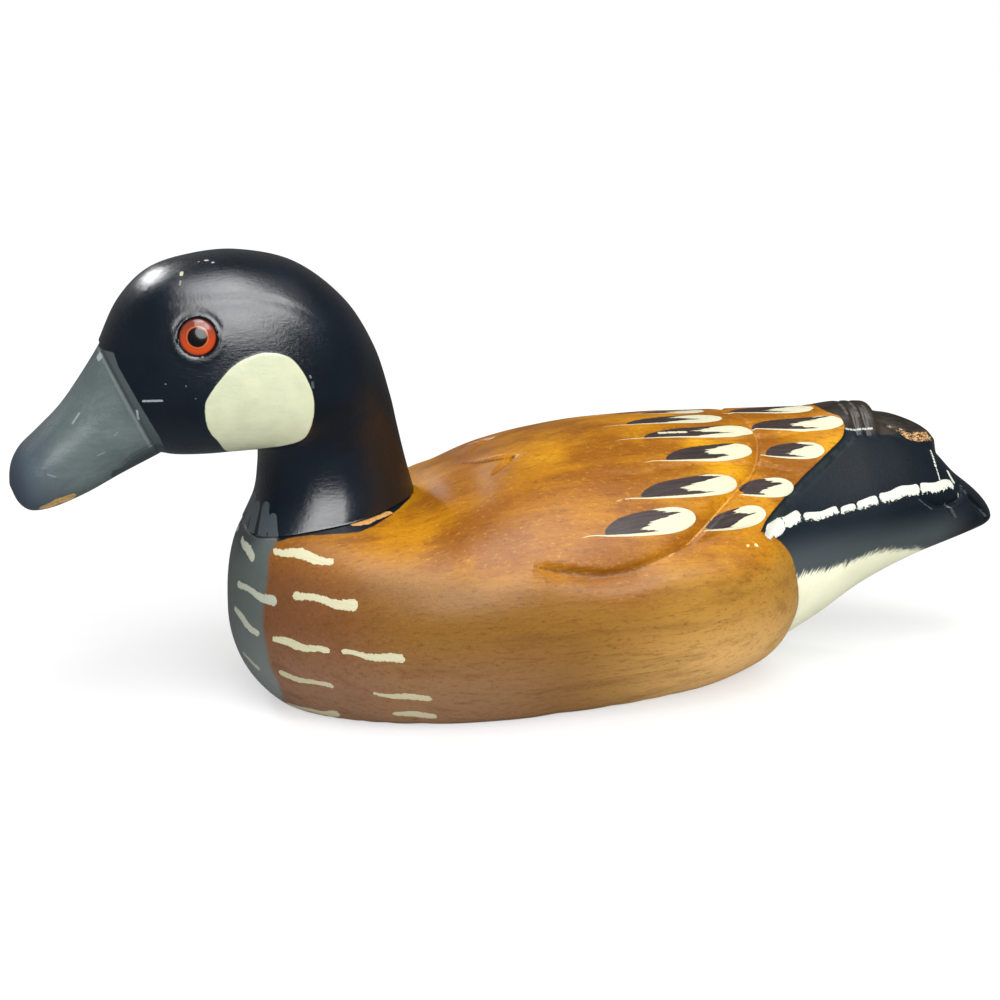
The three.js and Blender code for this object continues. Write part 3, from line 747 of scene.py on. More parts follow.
def body_lines():
    marks = []
    for number, (knots, half, colour, sides) in enumerate(LINES):
        for side in sides:
            t = np.linspace(0, len(knots) - 1, 3 * len(knots) - 2)
            places = catmull(knots, t)
            for rear, front in zip(places, places[1:]):
                marks.append((DASH, mark_on_body(rear, front, side), half, number * 2.3 + side, colour))
    return marks


def head_nicks():
    marks = []
    for number, (a, b, half, colour) in enumerate(HEAD_NICKS):
        middle = (np.array(a) + b) / 2
        normal = np.array([0.2, middle[1], max(middle[2] - 108, 0)], float)
        frame_of_mark = mark_between(np.array(a, float), b, normal / np.linalg.norm(normal))
        marks.append((DASH, frame_of_mark, half, number * 1.7, colour))
    return marks


def put_marks(mesh, layer, marks, margin):
    """Gives each face corner its place in the nearest mark of a layer (along, across and seed), the
    mark's length, half-width and kind, and its colour."""
    corners = np.empty(len(mesh.loops), int)
    mesh.loops.foreach_get("vertex_index", corners)
    points = vertex_places(mesh)[corners]
    starts = np.empty(len(mesh.polygons), int)
    totals = np.empty(len(mesh.polygons), int)
    mesh.polygons.foreach_get("loop_start", starts)
    mesh.polygons.foreach_get("loop_total", totals)
    face_of = np.repeat(np.arange(len(starts)), totals)
    centres = np.add.reduceat(points, starts) / totals[:, None]
    place = np.tile(np.array([-99.0, -99.0, 0.0]), (len(corners), 1))
    shape = np.tile(np.array([1.0, 1.0, 0.0]), (len(corners), 1))
    colours = np.zeros((len(corners), 4))
    nearest = np.full(len(starts), 1e9)
    for kind, (origin, direction, across, length), half, seed, colour in marks:
        away = centres - origin
        u, v = away @ direction, away @ across
        w = np.linalg.norm(away - u[:, None] * direction - v[:, None] * across, axis=1)
        outside = np.maximum(np.maximum(-u, u - length), 0)
        score = np.hypot(np.maximum(np.abs(v) - half, 0), outside)
        beside = (w < MARK_REACH) & (outside < 2.4 * margin) & (np.abs(v) < half + margin)
        take = beside & (score < nearest)
        nearest[take] = score[take]
        chosen = take[face_of]
        rel = points[chosen] - origin
        place[chosen] = np.stack([rel @ direction, rel @ across, np.full(len(rel), seed)], -1)
        shape[chosen] = (length, half, kind)
        colours[chosen] = (*srgb(*colour[:3])[:3], colour[3] / 255)
    for name, values in (("place", place), ("shape", shape)):
        attribute = mesh.attributes.new(f"{layer}_{name}", "FLOAT_VECTOR", "CORNER")
        attribute.data.foreach_set("vector", values.astype(np.float32).ravel())
    attribute = mesh.attributes.new(f"{layer}_colour", "FLOAT_COLOR", "CORNER")
    attribute.data.foreach_set("color", colours.astype(np.float32).ravel())


# Shader building


def operator(kind):
    """Method of a wire that does one operation on it and what it is given."""
    def apply(self, *others):
        return self.recipe.math(kind, self, *others)

    return apply


class Wire:
    """Output of a shader node that can be used in arithmetic."""

    def __init__(self, recipe, socket):
        self.recipe = recipe
        self.socket = socket

    __add__ = __radd__ = operator("ADD")
    __mul__ = __rmul__ = operator("MULTIPLY")
    __sub__ = operator("SUBTRACT")
    __truediv__ = operator("DIVIDE")
    __pow__ = operator("POWER")
    __abs__ = operator("ABSOLUTE")
    above = operator("MAXIMUM")
    below = operator("MINIMUM")

    def __rsub__(self, other):
        return self.recipe.math("SUBTRACT", other, self)

    def root(self):
        return self.recipe.math("SQRT", self.above(0.0))

    def fade(self, start, end):
        """0 where the value is at start, 1 where it is at end, soft between."""
        rising = start < end
        settings = {
            "Value": self, "From Min": min(start, end), "From Max": max(start, end),
            "To Min": 0.0 if rising else 1.0, "To Max": 1.0 if rising else 0.0,
        }
        return self.recipe.wire("ShaderNodeMapRange", settings, interpolation_type="SMOOTHSTEP")


class Recipe:
    """A material under construction."""

    def __init__(self, name):
        self.material = bpy.data.materials.new(name)
        self.material.use_nodes = True
        self.tree = self.material.node_tree
        self.tree.nodes.clear()
        self.shader = self.node("ShaderNodeBsdfPrincipled")
        output = self.node("ShaderNodeOutputMaterial")
        self.tree.links.new(self.shader.outputs[0], output.inputs["Surface"])

    def node(self, kind, **settings):
        node = self.tree.nodes.new(kind)
        for name, value in settings.items():
            setattr(node, name, value)
        return node

    def put(self, socket, value):
        if isinstance(value, Wire):
            self.tree.links.new(value.socket, socket)
        elif value is not None:
            socket.default_value = value

    def finish(self, values):
        for name, value in values.items():
            self.put(self.shader.inputs[name], value)

    def wire(self, kind, inputs, output=0, **settings):
        """Output of a new node, whose inputs are given by name or number."""
        node = self.node(kind, **settings)
        for name, value in inputs.items():
            self.put(node.inputs[name], value)
        return Wire(self, node.outputs[output])

    def math(self, operation, *values):
        return self.wire("ShaderNodeMath", dict(enumerate(values)), operation=operation)

    def attribute(self, name, output="Fac"):
        return self.wire("ShaderNodeAttribute", {}, output, attribute_name=name)

    def split(self, vector):
        node = self.node("ShaderNodeSeparateXYZ")
        self.put(node.inputs[0], vector)
        return [Wire(self, socket) for socket in node.outputs]

    def join(self, x, y, z):
        return self.wire("ShaderNodeCombineXYZ", {0: x, 1: y, 2: z})

    def scaled(self, vector, scale):
        return self.wire("ShaderNodeVectorMath", {0: vector, 1: scale}, operation="MULTIPLY")

    def place(self):
        """Object coordinates in millimetres."""
        return self.scaled(self.wire("ShaderNodeTexCoord", {}, "Object"), (1 / MM, 1 / MM, 1 / MM))

    def noise(self, vector, scale=1.0, detail=2.0, roughness=0.5, distortion=0.0):
        """Noise about zero, within about half a unit."""
        settings = {
            "Vector": vector, "Scale": scale, "Detail": detail,
            "Roughness": roughness, "Distortion": distortion,
        }
        return self.wire("ShaderNodeTexNoise", settings) - 0.5

    def mix(self, factor, a, b):
        node = self.node("ShaderNodeMix", data_type="RGBA")
        colours = [socket for socket in node.inputs if socket.type == "RGBA"]
        self.put(node.inputs[0], factor)
        self.put(colours[0], a)
        self.put(colours[1], b)
        return Wire(self, next(socket for socket in node.outputs if socket.type == "RGBA"))

    def over(self, base, *coats):
        """Colour after each coat, a mask and a colour, is laid over the ones before it."""
        for mask, colour in coats:
            base = self.mix(mask, base, colour)
        return base

    def bump(self, height, strength, distance):
        settings = {"Strength": strength, "Distance": distance, "Height": height}
        return self.wire("ShaderNodeBump", settings)


def stroke(u, v, length, half, wave, ragged):
    """Mask of a round-ended brush stroke whose middle wavers."""
    beyond = (abs(u - length * 0.5) - (length * 0.5 - half).above(0.0)).above(0.0)
    aside = v - wave
    distance = (beyond * beyond + aside * aside).root()
    return (distance - half * (ragged + 1.0)).fade(0.08, -0.08)


def blot(u, v, length, half, ragged):
    """Mask of a squarer brush stroke with rounded corners and a ragged edge."""
    corner = half * 0.85
    along = (abs(u - length * 0.5) - length * 0.5 + corner).above(0.0)
    aside = (abs(v) - half + corner).above(0.0)
    return ((along * along + aside * aside).root() - corner + ragged).fade(0.1, -0.1)


def read_layer(paint, layer):
    u, v, seed = paint.split(paint.attribute(f"{layer}_place", "Vector"))
    length, half, kind = paint.split(paint.attribute(f"{layer}_shape", "Vector"))
    return u, v, seed, length, half, kind


def line_mask(paint, layer):
    """Mask and colour of the thin lines of a layer."""
    u, v, seed, length, half, _ = read_layer(paint, layer)
    ragged = paint.noise(paint.join(u, v, seed), 1.6, 3, 0.65)
    strength = paint.attribute(f"{layer}_colour", "Alpha")
    mask = stroke(u, v, length, half, 0.0, ragged * 1.4)
    return mask * strength, paint.attribute(f"{layer}_colour", "Color")


def mark_masks(paint):
    """Masks of the dark and the pale paint of the brush marks."""
    u, v, seed, length, half, kind = read_layer(paint, "mark")
    t, q = u / length, v / half
    place = paint.join(u, v, seed)
    ragged = paint.noise(place, 0.9, 4, 0.65)
    streak = paint.noise(paint.scaled(place, (0.12, 2.0, 1.0)), 1.0, 3, 0.6)
    is_feather = paint.math("COMPARE", kind, FEATHER, 0.2)
    is_dash = paint.math("COMPARE", kind, DASH, 0.2)
    is_brush = paint.math("COMPARE", kind, BRUSH, 0.2)

    widest = 0.34
    rear = ((widest - t) / widest).above(0.0).below(1.0)
    front = ((t - widest) / (1 - widest)).above(0.0)
    rounded_rear = (1.0 - rear**2.3).root()
    upper = rounded_rear * (1.0 - front.below(1.0) ** 4.0).above(0.0) ** 0.7
    lower = rounded_rear * 0.85 * (1.0 - 0.72 * front**1.5).above(0.0)
    rough = ragged * 0.12
    inside = (q - upper + rough).fade(0.04, -0.04) * (q + lower + rough).fade(-0.04, 0.04)
    leaf = inside * t.fade(1.01, 0.99) * t.fade(-0.01, 0.01)

    tooth = paint.math("PINGPONG", q * 1.6 + seed, 1.0)
    border = 0.57 - 0.36 * tooth**1.8 - 0.12 * q + 0.36 * streak
    pale_rear = (t - border).fade(0.01, -0.01)
    thickness = ((1.28 - t) * 0.28).above(0.0) + rough * 0.5
    above_edge = q + lower * t.fade(1.3, 0.95)
    thin = (above_edge - thickness).fade(0.03, -0.03) * above_edge.fade(-0.05, 0.0)
    thin = thin * t.fade(0.05, 0.2) * t.fade(1.27, 1.2)
    pale = (leaf * pale_rear).above(thin) * is_feather
    dark = leaf * (1.0 - pale) * is_feather

    wave = paint.math("SINE", u * 0.5 + seed * 2.0) * half * 0.3
    crumb = paint.noise(place, 2.6, 3, 0.7)
    swell = ragged * 1.2 + crumb * 0.6 + paint.math("SINE", u * 0.31 + seed) * 0.2 - t.fade(0.5, 0.0) * 0.22
    strength = paint.attribute("mark_colour", "Alpha")
    dash = stroke(u, v, length, half, wave, swell) * is_dash * strength

    lower_side = (v / half).fade(0.4, -0.8)
    tatters = (ragged * 2.0 + crumb * 1.0) * (0.6 + lower_side)
    sway = paint.math("SINE", u * 0.55 + seed * 3.0) * 0.3 + ragged * 1.2
    brush = blot(u, v - sway, length, half, tatters) * is_brush
    return dark, pale.above(dash).above(brush), streak


def body_material():
    paint = Recipe("stained_and_painted_wood")
    place = paint.place()
    x, y, z = paint.split(place)

    grain = paint.noise(paint.scaled(place, (0.016, 0.15, 0.15)), 1.0, 5, 0.62, 0.3)
    fibre = paint.noise(paint.scaled(place, (0.11, 0.9, 0.9)), 1.0, 4, 0.65)
    pores = paint.noise(paint.scaled(place, (0.55, 1.2, 1.2)), 1.0, 3, 0.75)
    speck = paint.noise(place, 1.4, 3, 0.65)
    cloud = paint.noise(place, 0.03, 3, 0.5)

    patch = 1.0 - ((x - 12.0) / 26.0) ** 2.0 - ((z - 60.0) / 15.0) ** 2.0
    amber = paint.over(
        srgb(170, 112, 0),
        ((cloud + grain * 0.7).fade(-0.16, 0.14), srgb(130, 76, 0)),
        ((grain * 0.6 - cloud).fade(0.06, 0.3), srgb(196, 140, 8)),
        ((patch + cloud * 1.6).fade(0.0, 0.9) * 0.5, srgb(128, 74, 2)),
        ((x + cloud * 20).fade(50.0, 78.0), srgb(126, 76, 16)),
    )
    side = paint.over(
        srgb(118, 78, 14),
        ((x + cloud * 50 - z * 0.2).fade(22.0, -52.0), srgb(150, 108, 34)),
        ((x + cloud * 30).fade(38.0, 78.0), srgb(106, 66, 36)),
        (z.fade(34.0, 10.0) * x.fade(-30.0, 40.0) * 0.6, srgb(132, 102, 80)),
        # Lighter towards the bottom of the rear flank: partly the stain, partly painted reflection of the
        # floor
        (z.fade(36.0, 10.0) * x.fade(6.0, -56.0) * 0.74, srgb(224, 178, 110)),
        (grain.fade(-0.02, 0.2) * 0.4, srgb(92, 56, 16)),
    )
    low = (z + cloud * 22 - x.fade(-20.0, 80.0) * 4).fade(50.0, 36.0)
    light = paint.mix(low, srgb(224, 172, 66), srgb(176, 132, 76))
    wood = paint.over(
        amber,
        (low, side),
        (fibre.fade(0.0, 0.22) * 0.42, srgb(90, 48, 4)),
        (pores.fade(0.04, 0.22) * 0.5, srgb(74, 40, 6)),
        (pores.fade(-0.06, -0.24) * (0.32 - low * 0.2), light),
    )

    ragged = paint.noise(place, 0.35, 4, 0.6)
    hair = paint.noise(paint.scaled(paint.join(x + z * 0.5, y, z), (2.4, 1.2, 0.16)), 1.0, 3, 0.65)
    throat = (z + cloud * 20.0).fade(40.0, 52.0) * abs(y).fade(20.0, 10.0)
    grey = paint.over(
        srgb(74, 82, 80),
        ((cloud + speck * 0.3).fade(-0.2, 0.2), srgb(88, 96, 92)),
        (throat * 0.85, srgb(22, 28, 32)),
        # Band lighter towards the bottom: painted reflection of the floor
        (z.fade(30.0, 8.0) * 0.7, srgb(116, 122, 120)),
    )
    ivory = paint.mix((cloud + hair * 0.4).fade(-0.2, 0.2), srgb(216, 216, 186), srgb(230, 230, 202))
    brown = paint.mix((fibre + grain).fade(-0.2, 0.2), srgb(26, 22, 18), srgb(48, 42, 36))
    behind = paint.attribute("behind")
    worn = behind.fade(0.0, 1.6) * behind.fade(BEVEL + 2.0, BEVEL - 1.4) * z.fade(80.0, 70.0)
    black = paint.over(
        srgb(6, 15, 22),
        (cloud.fade(-0.2, 0.2), srgb(12, 23, 32)),
        (worn * (0.4 + ragged), srgb(56, 62, 62)),
        # Lower rump greyer: painted reflection of the floor
        (z.fade(50.0, 37.0) * x.fade(-146.0, -128.0) * 0.7, srgb(76, 84, 86)),
        (paint.attribute("tips").fade(0.3, -0.3), brown),
    )

    dark, pale, streak = mark_masks(paint)
    umber = paint.mix(streak.fade(-0.2, 0.2), srgb(38, 29, 27), srgb(56, 46, 45))
    pigment = paint.attribute("mark_colour", "Color")
    pigment = paint.mix(streak.fade(0.0, 0.3) * 0.4, pigment, srgb(150, 140, 108))
    broken = paint.noise(paint.scaled(place, (0.5, 1.6, 1.6)), 1.0, 4, 0.7)
    timber = paint.mix(broken.fade(-0.06, 0.1), srgb(184, 144, 96), srgb(48, 32, 20))
    fresh = paint.mix(speck.fade(-0.1, 0.3), srgb(200, 150, 88), srgb(140, 96, 52))

    rump = (behind.below(paint.attribute("clear_of_flank")) + ragged * 0.5).fade(-0.2, 0.2)
    collar = (paint.attribute("collar") + ragged * 0.6).fade(0.25, -0.25)
    band = (paint.attribute("band") + ragged * 0.9).fade(0.7, -0.7)
    raw = (paint.attribute("raw") + ragged * 2.4 + broken * 1.6).fade(0.15, -0.15)
    colour = paint.over(
        wood,
        (collar, black),
        (band, grey),
        (rump, black),
        ((paint.attribute("under") + hair * 9.0).fade(1.0, -0.8) * rump, ivory),
        (dark, umber),
        (pale, pigment),
        (raw, timber),
        ((paint.attribute("wedge") + ragged * 1.6).fade(0.12, -0.12), fresh),
        line_mask(paint, "line"),
    )

    painted = rump.above(band).above(collar)
    relief = fibre * (0.7 - painted * 0.4) + speck * 0.5 + pores * 0.3 + broken * raw * 3.0
    relief = relief + pale * (0.9 + streak * 0.8) + dark * 0.3
    normal = paint.bump(relief, *BODY_BUMP)
    paint.finish({
        "Base Color": colour,
        "Roughness": 0.44 + speck * 0.26 - painted * 0.06 + raw * 0.3,
        "Normal": normal,
        "Coat Normal": normal,
        "Specular IOR Level": 0.26,
        "Coat Weight": 0.22,
        "Coat Roughness": 0.28,
    })
    return paint.material


def head_material():
    paint = Recipe("black_cream_and_grey_paint")
    place = paint.place()
    x, _, z = paint.split(place)
    cloud = paint.noise(place, 0.06, 4, 0.55)
    speck = paint.noise(place, 1.1, 3, 0.65)
    fine = paint.noise(place, 3.2, 2, 0.6)
    brush = paint.noise(paint.scaled(place, (0.12, 1.4, 0.7)), 1.0, 4, 0.65)
    ragged = paint.noise(place, 0.4, 4, 0.6)

    nape = x.fade(64.0, 46.0) * z.fade(122.0, 84.0)
    # Lighter slate on the lower face: painted reflection of the floor
    lower_face_reflection = z.fade(92.0, 80.0) * x.fade(88.0, 100.0)
    black = paint.over(
        srgb(3, 11, 19),
        (cloud.fade(-0.2, 0.2), srgb(8, 18, 28)),
        (nape * 0.8, srgb(24, 21, 19)),
        (lower_face_reflection * 0.5, srgb(30, 38, 46)),
    )
    bill = (paint.attribute("bill") + ragged * 0.3).fade(0.12, -0.12)
    station = paint.attribute("station")
    # A thin pale line along the bill's step: painted highlight on its edge
    rim = abs(station - (BEVEL_STATION + 0.08) + ragged * 0.06).fade(0.1, 0.02)
    grey = paint.over(
        srgb(72, 82, 82),
        ((cloud + brush * 0.5).fade(-0.2, 0.2), srgb(86, 96, 96)),
        ((x - z * 0.3).fade(112.0, 134.0), srgb(52, 62, 74)),
        (station.fade(BEVEL_STATION + 0.1, BEVEL_STATION) * bill * 0.7, srgb(56, 64, 66)),
        (rim * 0.32, srgb(132, 140, 140)),
        (paint.attribute("mouth").fade(0.25, -0.25) * 0.85, srgb(46, 54, 58)),
    )
    blotch = paint.noise(place, 0.16, 3, 0.55)
    cream = paint.mix((blotch + brush * 0.4).fade(-0.3, 0.3), srgb(174, 178, 152), srgb(187, 191, 160))
    tan = paint.mix(speck.fade(-0.1, 0.25), srgb(186, 150, 94), srgb(128, 98, 60))

    cheek = (paint.attribute("cheek") + ragged * 0.35).fade(0.15, -0.15)
    fingers = (paint.attribute("fingers") + ragged * 0.4).fade(0.12, -0.12)
    raw = (paint.attribute("chip") + ragged * 2.2).fade(0.2, -0.2)
    colour = paint.over(
        black,
        (bill, grey),
        (cheek, cream),
        (fingers, srgb(60, 68, 72)),
        (raw, tan),
        line_mask(paint, "nick"),
        (paint.attribute("socket").fade(EYE_RADIUS + 0.4, EYE_RADIUS + 0.1), srgb(24, 16, 14)),
    )

    matt = bill.above(cheek).above(raw)
    scuff = paint.noise(paint.scaled(place, (0.5, 2.2, 1.1)), 1.0, 4, 0.7)
    relief = speck * 0.5 + fine * 0.35 + scuff * 1.1 + cheek * 1.2
    relief = relief + raw * speck * 4.0 + fingers * 0.6
    normal = paint.bump(relief, *HEAD_BUMP)
    paint.finish({
        "Base Color": colour,
        "Roughness": 0.36 + speck * 0.3 + matt * 0.14 + nape * 0.25,
        "Normal": normal,
        "Coat Normal": normal,
        "Specular IOR Level": 0.12,
        "Coat Weight": 1.0 - nape * 0.6 - bill * 0.6,
        "Coat IOR": 1.6,
        "Coat Roughness": 0.16,
    })
    return paint.material


def eye_material():
    paint = Recipe("painted_glass_eye")
    r = paint.attribute("radius")
    place = paint.place()
    _, _, z = paint.split(place)
    cloud = paint.noise(place, 0.9, 3, 0.5)
    height = z - EYE_CENTRE[2] + cloud * 2
    colour = paint.over(
        srgb(178, 62, 14),
        # Upper iris darker, lower brighter: painted shade
        (height.fade(-3.5, 4.5), srgb(102, 48, 38)),
        (r.fade(3.6, 3.0) * 0.7, srgb(120, 40, 18)),
        (abs(r - IRIS_LINE_RADIUS + cloud * 0.5).fade(0.26, 0.04) * 0.5, srgb(196, 112, 62)),
        (r.fade(4.6, 5.15), srgb(40, 14, 12)),
        (r.fade(PUPIL_RADIUS + 0.35, PUPIL_RADIUS), srgb(8, 7, 8)),
    )
    paint.finish({
        "Base Color": colour,
        "Roughness": 0.28,
        "Specular IOR Level": 0.1,
        "Coat Weight": 1.0,
        "Coat Roughness": 0.1,
    })
    return paint.material


# Pieces


def make_body():
    mesh = grid_mesh("carved_body", body_points())
    points = vertex_places(mesh)
    x, y, z = points.T
    half = np.abs(y)
    angle = np.arctan2(z - spine(x), half)
    c, s = np.cos(angle), np.sin(angle)
    put_floats(mesh, "band", smooth(BAND_EDGE, z) - x)
    outline = COLLAR + [(ax, -ay) for ax, ay in reversed(COLLAR[:-1])]
    put_floats(mesh, "collar", np.maximum(outline_distance(x, y, outline), smooth(COLLAR_FOOT, x) - z))
    stain = [knot for knot in FEATHER_EDGE if knot[0] > STAIN_EDGE[-1][0]]
    put_floats(mesh, "behind", behind_edge(STAIN_EDGE + stain, x, c, s))
    clear = back_radius(x, c, s) - LAYER - flank_radius(x, c, s)
    put_floats(mesh, "clear_of_flank", np.where(x < STERN_X, OUTSIDE, clear))
    put_floats(mesh, "tips", np.maximum(half - smooth(TIPS_WIDTH, x), TIPS_FOOT - z))
    put_floats(mesh, "under", z - smooth(UNDERTAIL, x))
    put_floats(mesh, "wedge", np.where(z > WEDGE_FOOT, outline_distance(x, y, WEDGE), OUTSIDE))
    put_floats(mesh, "raw", np.where(x < RAW_WOOD_START, raw_wood_distance(points), OUTSIDE))
    put_marks(mesh, "mark", body_marks(), MARK_MARGIN)
    put_marks(mesh, "line", body_lines(), LINE_MARGIN)
    mesh.materials.append(body_material())
    return mesh


def seat_plane(x):
    return SEAT_Z - SEAT_SLOPE * (x - SEAT_X) + JOINT_GAP * step(88, 74, x)


def eye_axis(side):
    axis = np.array([EYE_TURN, side, EYE_LIFT])
    return mirrored(EYE_CENTRE, side), axis / np.linalg.norm(axis)


def around_eye(points, side):
    """Height above the eye's base plane, vector away from its axis, and its length."""
    centre, axis = eye_axis(side)
    away = points - centre
    height = away @ axis
    radial = away - height[:, None] * axis
    return height, radial, np.linalg.norm(radial, axis=1)


def head_relief(points, normals):
    """Moves the head's surface inward or outward for its carved and worn details."""
    flat = points.reshape(-1, 3)
    x, y, z = flat.T
    near = np.stack([x, np.abs(y), z], -1)
    lift = np.zeros(len(flat))
    mouth, _, along = path_distance(near, MOUTH)
    lift -= MOUTH_DEPTH * np.clip(1 - mouth / MOUTH_REACH, 0, 1) * step(1.0, 0.8, along)
    brow, nearest, along = path_distance(near * [1, 0, 1], BROW)
    fall = np.where(z < nearest[:, 2], 3.0, 1.2)
    crease = np.clip(1 - brow / fall, 0, 1) ** 1.5 * np.sin(np.pi * np.clip(along, 0, 1)) ** 0.5
    lift -= np.where(near[:, 1] > FACE_Y, BROW_DEPTH * crease, 0)
    lift += CHEEK_THICKNESS * step(0.3, -0.3, outline_distance(x, z, rounded(CHEEK)))
    chip, _, _ = path_distance(flat, BILL_CHIP)
    lift -= CHIP_DEPTH * step(2.4, 1.2, chip)
    for side in BOTH:
        _, radial, around = around_eye(flat, side)
        upward = radial[:, 2] / np.maximum(around, 0.1)
        ring = LID_HEIGHT * np.exp(-(((around - 6.9) / 1.0) ** 2)) * step(0.3, -0.2, upward)
        crease = LID_CREASE * np.exp(-(((around - 6.6) / 0.8) ** 2)) * step(0.1, 0.6, upward)
        dish = LID_DISH * np.exp(-(((around - 5.5) / 0.9) ** 2))
        lift += np.where(y * side > FACE_Y, ring - crease - dish, 0)
    flat = flat + lift[:, None] * normals.reshape(-1, 3)
    for side in BOTH:
        _, axis = eye_axis(side)
        height, radial, around = around_eye(flat, side)
        facing = flat[:, 1] * side > FACE_Y
        rim = facing & (np.abs(around - SOCKET_RADIUS) < SOCKET_SNAP)
        inside = facing & (around < SOCKET_RADIUS)
        target = np.where(inside, SOCKET_RADIUS - SOCKET_SLACK, SOCKET_RADIUS)
        shift = np.where(rim, (target - around) / np.maximum(around, 0.1), 0)
        sunk = np.where(inside, np.minimum(height, -EYE_DEPTH - JOINT_GAP) - height, 0)
        flat = flat + shift[:, None] * radial + sunk[:, None] * axis
    return flat.reshape(points.shape)


def grid_normals(points):
    """Outward directions of a closed grid of rings."""
    along = np.gradient(points, axis=0)
    around = (np.roll(points, -1, axis=1) - np.roll(points, 1, axis=1)) / 2
    normals = np.cross(around, along)
    normals /= np.maximum(np.linalg.norm(normals, axis=-1, keepdims=True), 1e-9)
    outward = np.sign(np.sum(normals * (points - points.mean(1, keepdims=True)), axis=(1, 2), keepdims=True))
    return normals * np.where(outward == 0, 1, outward)


def make_head():
    last = len(HEAD) - 1
    t = crowded(0, last, HEAD_RINGS, HEAD_RING_CROWDS)
    around = crowded(0, 360, HEAD_SPOKES, HEAD_SPOKE_CROWDS)[:-1]
    upper, lower, half, up, down = (catmull(column, t) for column in zip(*HEAD))
    angle = np.radians(around)
    c, s = np.cos(angle)[None, :], np.sin(angle)[None, :]
    r = oval_radius(c, s, 1, 1, np.where(c >= 0, up, down))
    middle, reach = (upper + lower) / 2, (upper - lower) / 2
    x = middle[:, :1] + reach[:, :1] * r * c
    z = middle[:, 1:] + reach[:, 1:] * r * c
    y = half * r * s
    points = np.stack([x, y, z], -1)
    points = head_relief(points, grid_normals(points))
    points[..., 2] = np.maximum(points[..., 2], seat_plane(points[..., 0]))
    mesh = grid_mesh("carved_head", points)

    places = vertex_places(mesh)
    px, py, pz = places.T
    put_floats(mesh, "station", np.concatenate([np.repeat(t, len(angle)), [t[0], t[-1]]]))
    put_floats(mesh, "bill", outline_distance(px, pz, BILL))
    put_floats(mesh, "cheek", outline_distance(px, pz, rounded(CHEEK)))
    near = np.stack([px, np.abs(py), pz], -1)
    crease, nearest, _ = path_distance(near, MOUTH)
    below = (pz < nearest[:, 2]) & (px > 112) & (px < 127)
    put_floats(mesh, "mouth", np.where(below, -crease, crease) - 0.3)
    put_floats(mesh, "chip", path_distance(places, BILL_CHIP)[0] - 2.2)
    fingers = [path_distance(places, [a, b])[0] - radius for a, b, radius in FINGERS]
    put_floats(mesh, "fingers", np.min(fingers, axis=0))
    socket = np.full(len(places), FAR_AWAY)
    for side in BOTH:
        socket = np.where(py * side > FACE_Y, around_eye(places, side)[2], socket)
    put_floats(mesh, "socket", socket)
    put_marks(mesh, "nick", head_nicks(), LINE_MARGIN)
    mesh.materials.append(head_material())
    return mesh


def make_eye(side):
    """A low glass dome over a flat back, with its distance from the axis for the painted iris."""
    centre, axis = eye_axis(side)
    across = np.cross(axis, [0, 0, 1])
    across /= np.linalg.norm(across)
    upward = np.cross(across, axis)
    rise = np.linspace(0, math.pi / 2, EYE_RINGS)
    radii = np.concatenate([[0.3, EYE_RADIUS - 0.2, EYE_RADIUS], EYE_RADIUS * np.cos(rise)])
    radii[-1] = 0.02
    heights = np.concatenate([[-EYE_DEPTH, -EYE_DEPTH, 0.2 - EYE_DEPTH], EYE_BULGE * np.sin(rise) - EYE_SINK])
    turn = np.linspace(0, 2 * math.pi, EYE_SPOKES, endpoint=False)
    rings = (
        centre
        + heights[:, None, None] * axis
        + (radii[:, None] * np.cos(turn))[..., None] * across
        + (radii[:, None] * np.sin(turn))[..., None] * upward
    )
    mesh = grid_mesh("glass_eye_left" if side > 0 else "glass_eye_right", rings)
    put_floats(mesh, "radius", np.concatenate([np.repeat(radii, len(turn)), [0, 0]]))
    return mesh


def add_piece(mesh, node):
    piece = bpy.data.objects.new(mesh.name, mesh)
    bpy.context.scene.collection.objects.link(piece)
    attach(piece, "root")
    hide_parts(node)


# Surroundings


def bearing(azimuth, elevation):
    """Direction from the duck, with the azimuth measured from its left side towards its bill."""
    a, e = math.radians(azimuth), math.radians(elevation)
    return Vector((math.sin(a) * math.cos(e), math.cos(a) * math.cos(e), math.sin(e)))


def add_object(name, data, place=(0, 0, 0), back=None):
    thing = bpy.data.objects.new(name, data)
    thing.location = Vector(place) * MM
    if back is not None:
        thing.rotation_euler = (-back).to_track_quat("-Z", "Y").to_euler()
    bpy.context.scene.collection.objects.link(thing)
    return thing


def add_camera():
    data = bpy.data.cameras.new("camera")
    data.sensor_width = CAMERA_SENSOR
    data.lens = CAMERA_LENS
    data.clip_start = 0.01
    back = bearing(CAMERA_AZIMUTH, CAMERA_ELEVATION)
    camera = add_object("camera", data, Vector(CAMERA_TARGET) + back * CAMERA_DISTANCE, back)
    bpy.context.scene.camera = camera


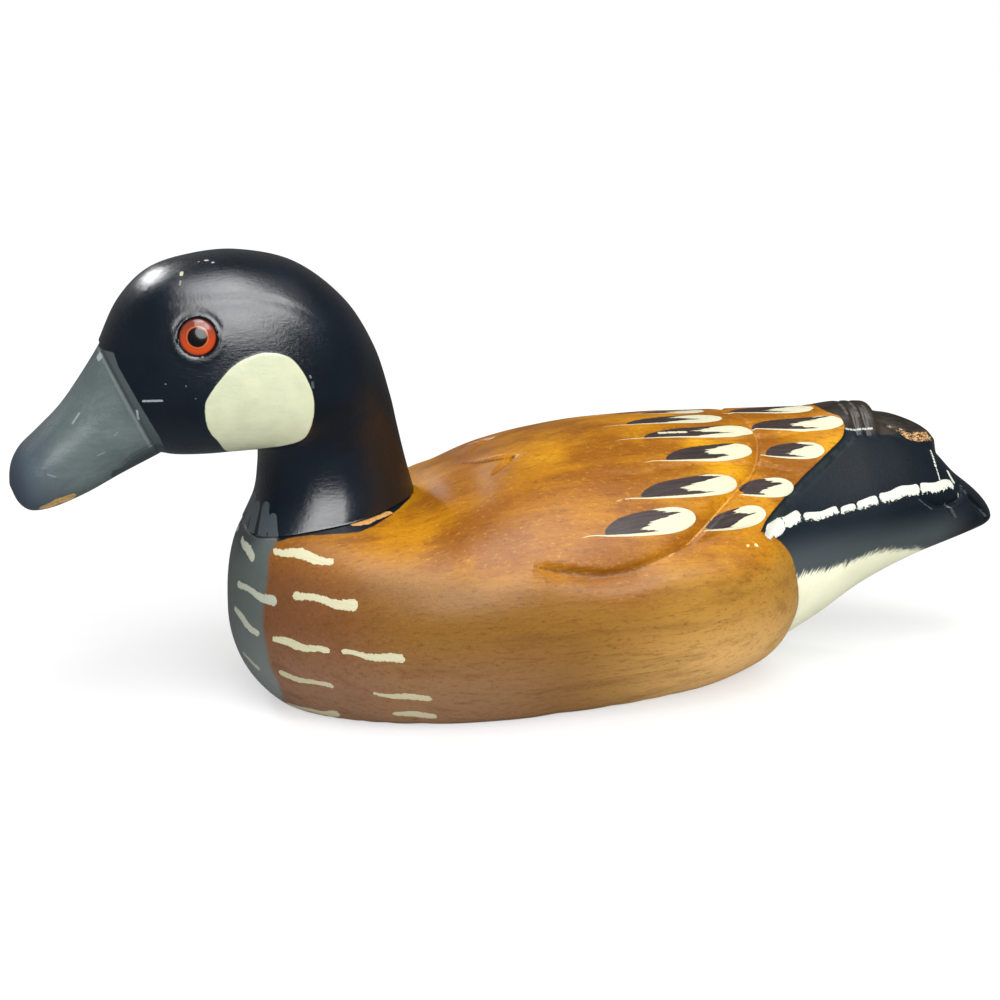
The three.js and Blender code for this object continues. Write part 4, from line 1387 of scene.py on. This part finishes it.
def add_lights():
    for name, light in LIGHTS.items():
        data = bpy.data.lights.new(name, "SUN")
        data.energy = light["power"]
        data.angle = math.radians(light["width"])
        add_object(name, data, (0, 0, 1000), bearing(light["azimuth"], light["elevation"]))

    world = bpy.data.worlds.new("studio")
    world.use_nodes = True
    nodes, links = world.node_tree.nodes, world.node_tree.links
    room = nodes["Background"]
    room.inputs["Color"].default_value = WHITE_LIGHT
    room.inputs["Strength"].default_value = ROOM_GLOW
    backdrop = nodes.new("ShaderNodeBackground")
    backdrop.inputs["Color"].default_value = WHITE_LIGHT
    backdrop.inputs["Strength"].default_value = BACKDROP
    seen = nodes.new("ShaderNodeLightPath")
    either = nodes.new("ShaderNodeMixShader")
    links.new(seen.outputs["Is Camera Ray"], either.inputs[0])
    links.new(room.outputs[0], either.inputs[1])
    links.new(backdrop.outputs[0], either.inputs[2])
    links.new(either.outputs[0], nodes["World Output"].inputs["Surface"])
    bpy.context.scene.world = world
    bpy.context.scene.view_settings.view_transform = "Standard"


def add_floor():
    mesh = bpy.data.meshes.new("floor")
    corners = [(FLOOR_REACH * x, FLOOR_REACH * y, 0) for x, y in ((-1, -1), (1, -1), (1, 1), (-1, 1))]
    mesh.from_pydata(corners, [], [(0, 1, 2, 3)])
    floor = add_object("floor", mesh)
    recipe = Recipe("pale_floor")
    speck = recipe.noise(recipe.place(), 0.05, 2, 0.5)
    shades = [(value, value, value, 1.0) for value in (FLOOR_SHADE, FLOOR_SHADE * 1.03)]
    recipe.finish({
        "Base Color": recipe.mix(speck + 0.5, *shades),
        "Roughness": 0.8,
        "Emission Color": WHITE_LIGHT,
        "Emission Strength": FLOOR_GLOW,
    })
    mesh.materials.append(recipe.material)
    floor.visible_glossy = False


add_camera()
add_lights()
add_floor()
add_piece(make_body(), "body")
add_piece(make_head(), "head")
glass = eye_material()
for side, node in ((1, "eye_left"), (-1, "eye_right")):
    eye = make_eye(side)
    eye.materials.append(glass)
    add_piece(eye, node)

bpy.context.view_layer.update()
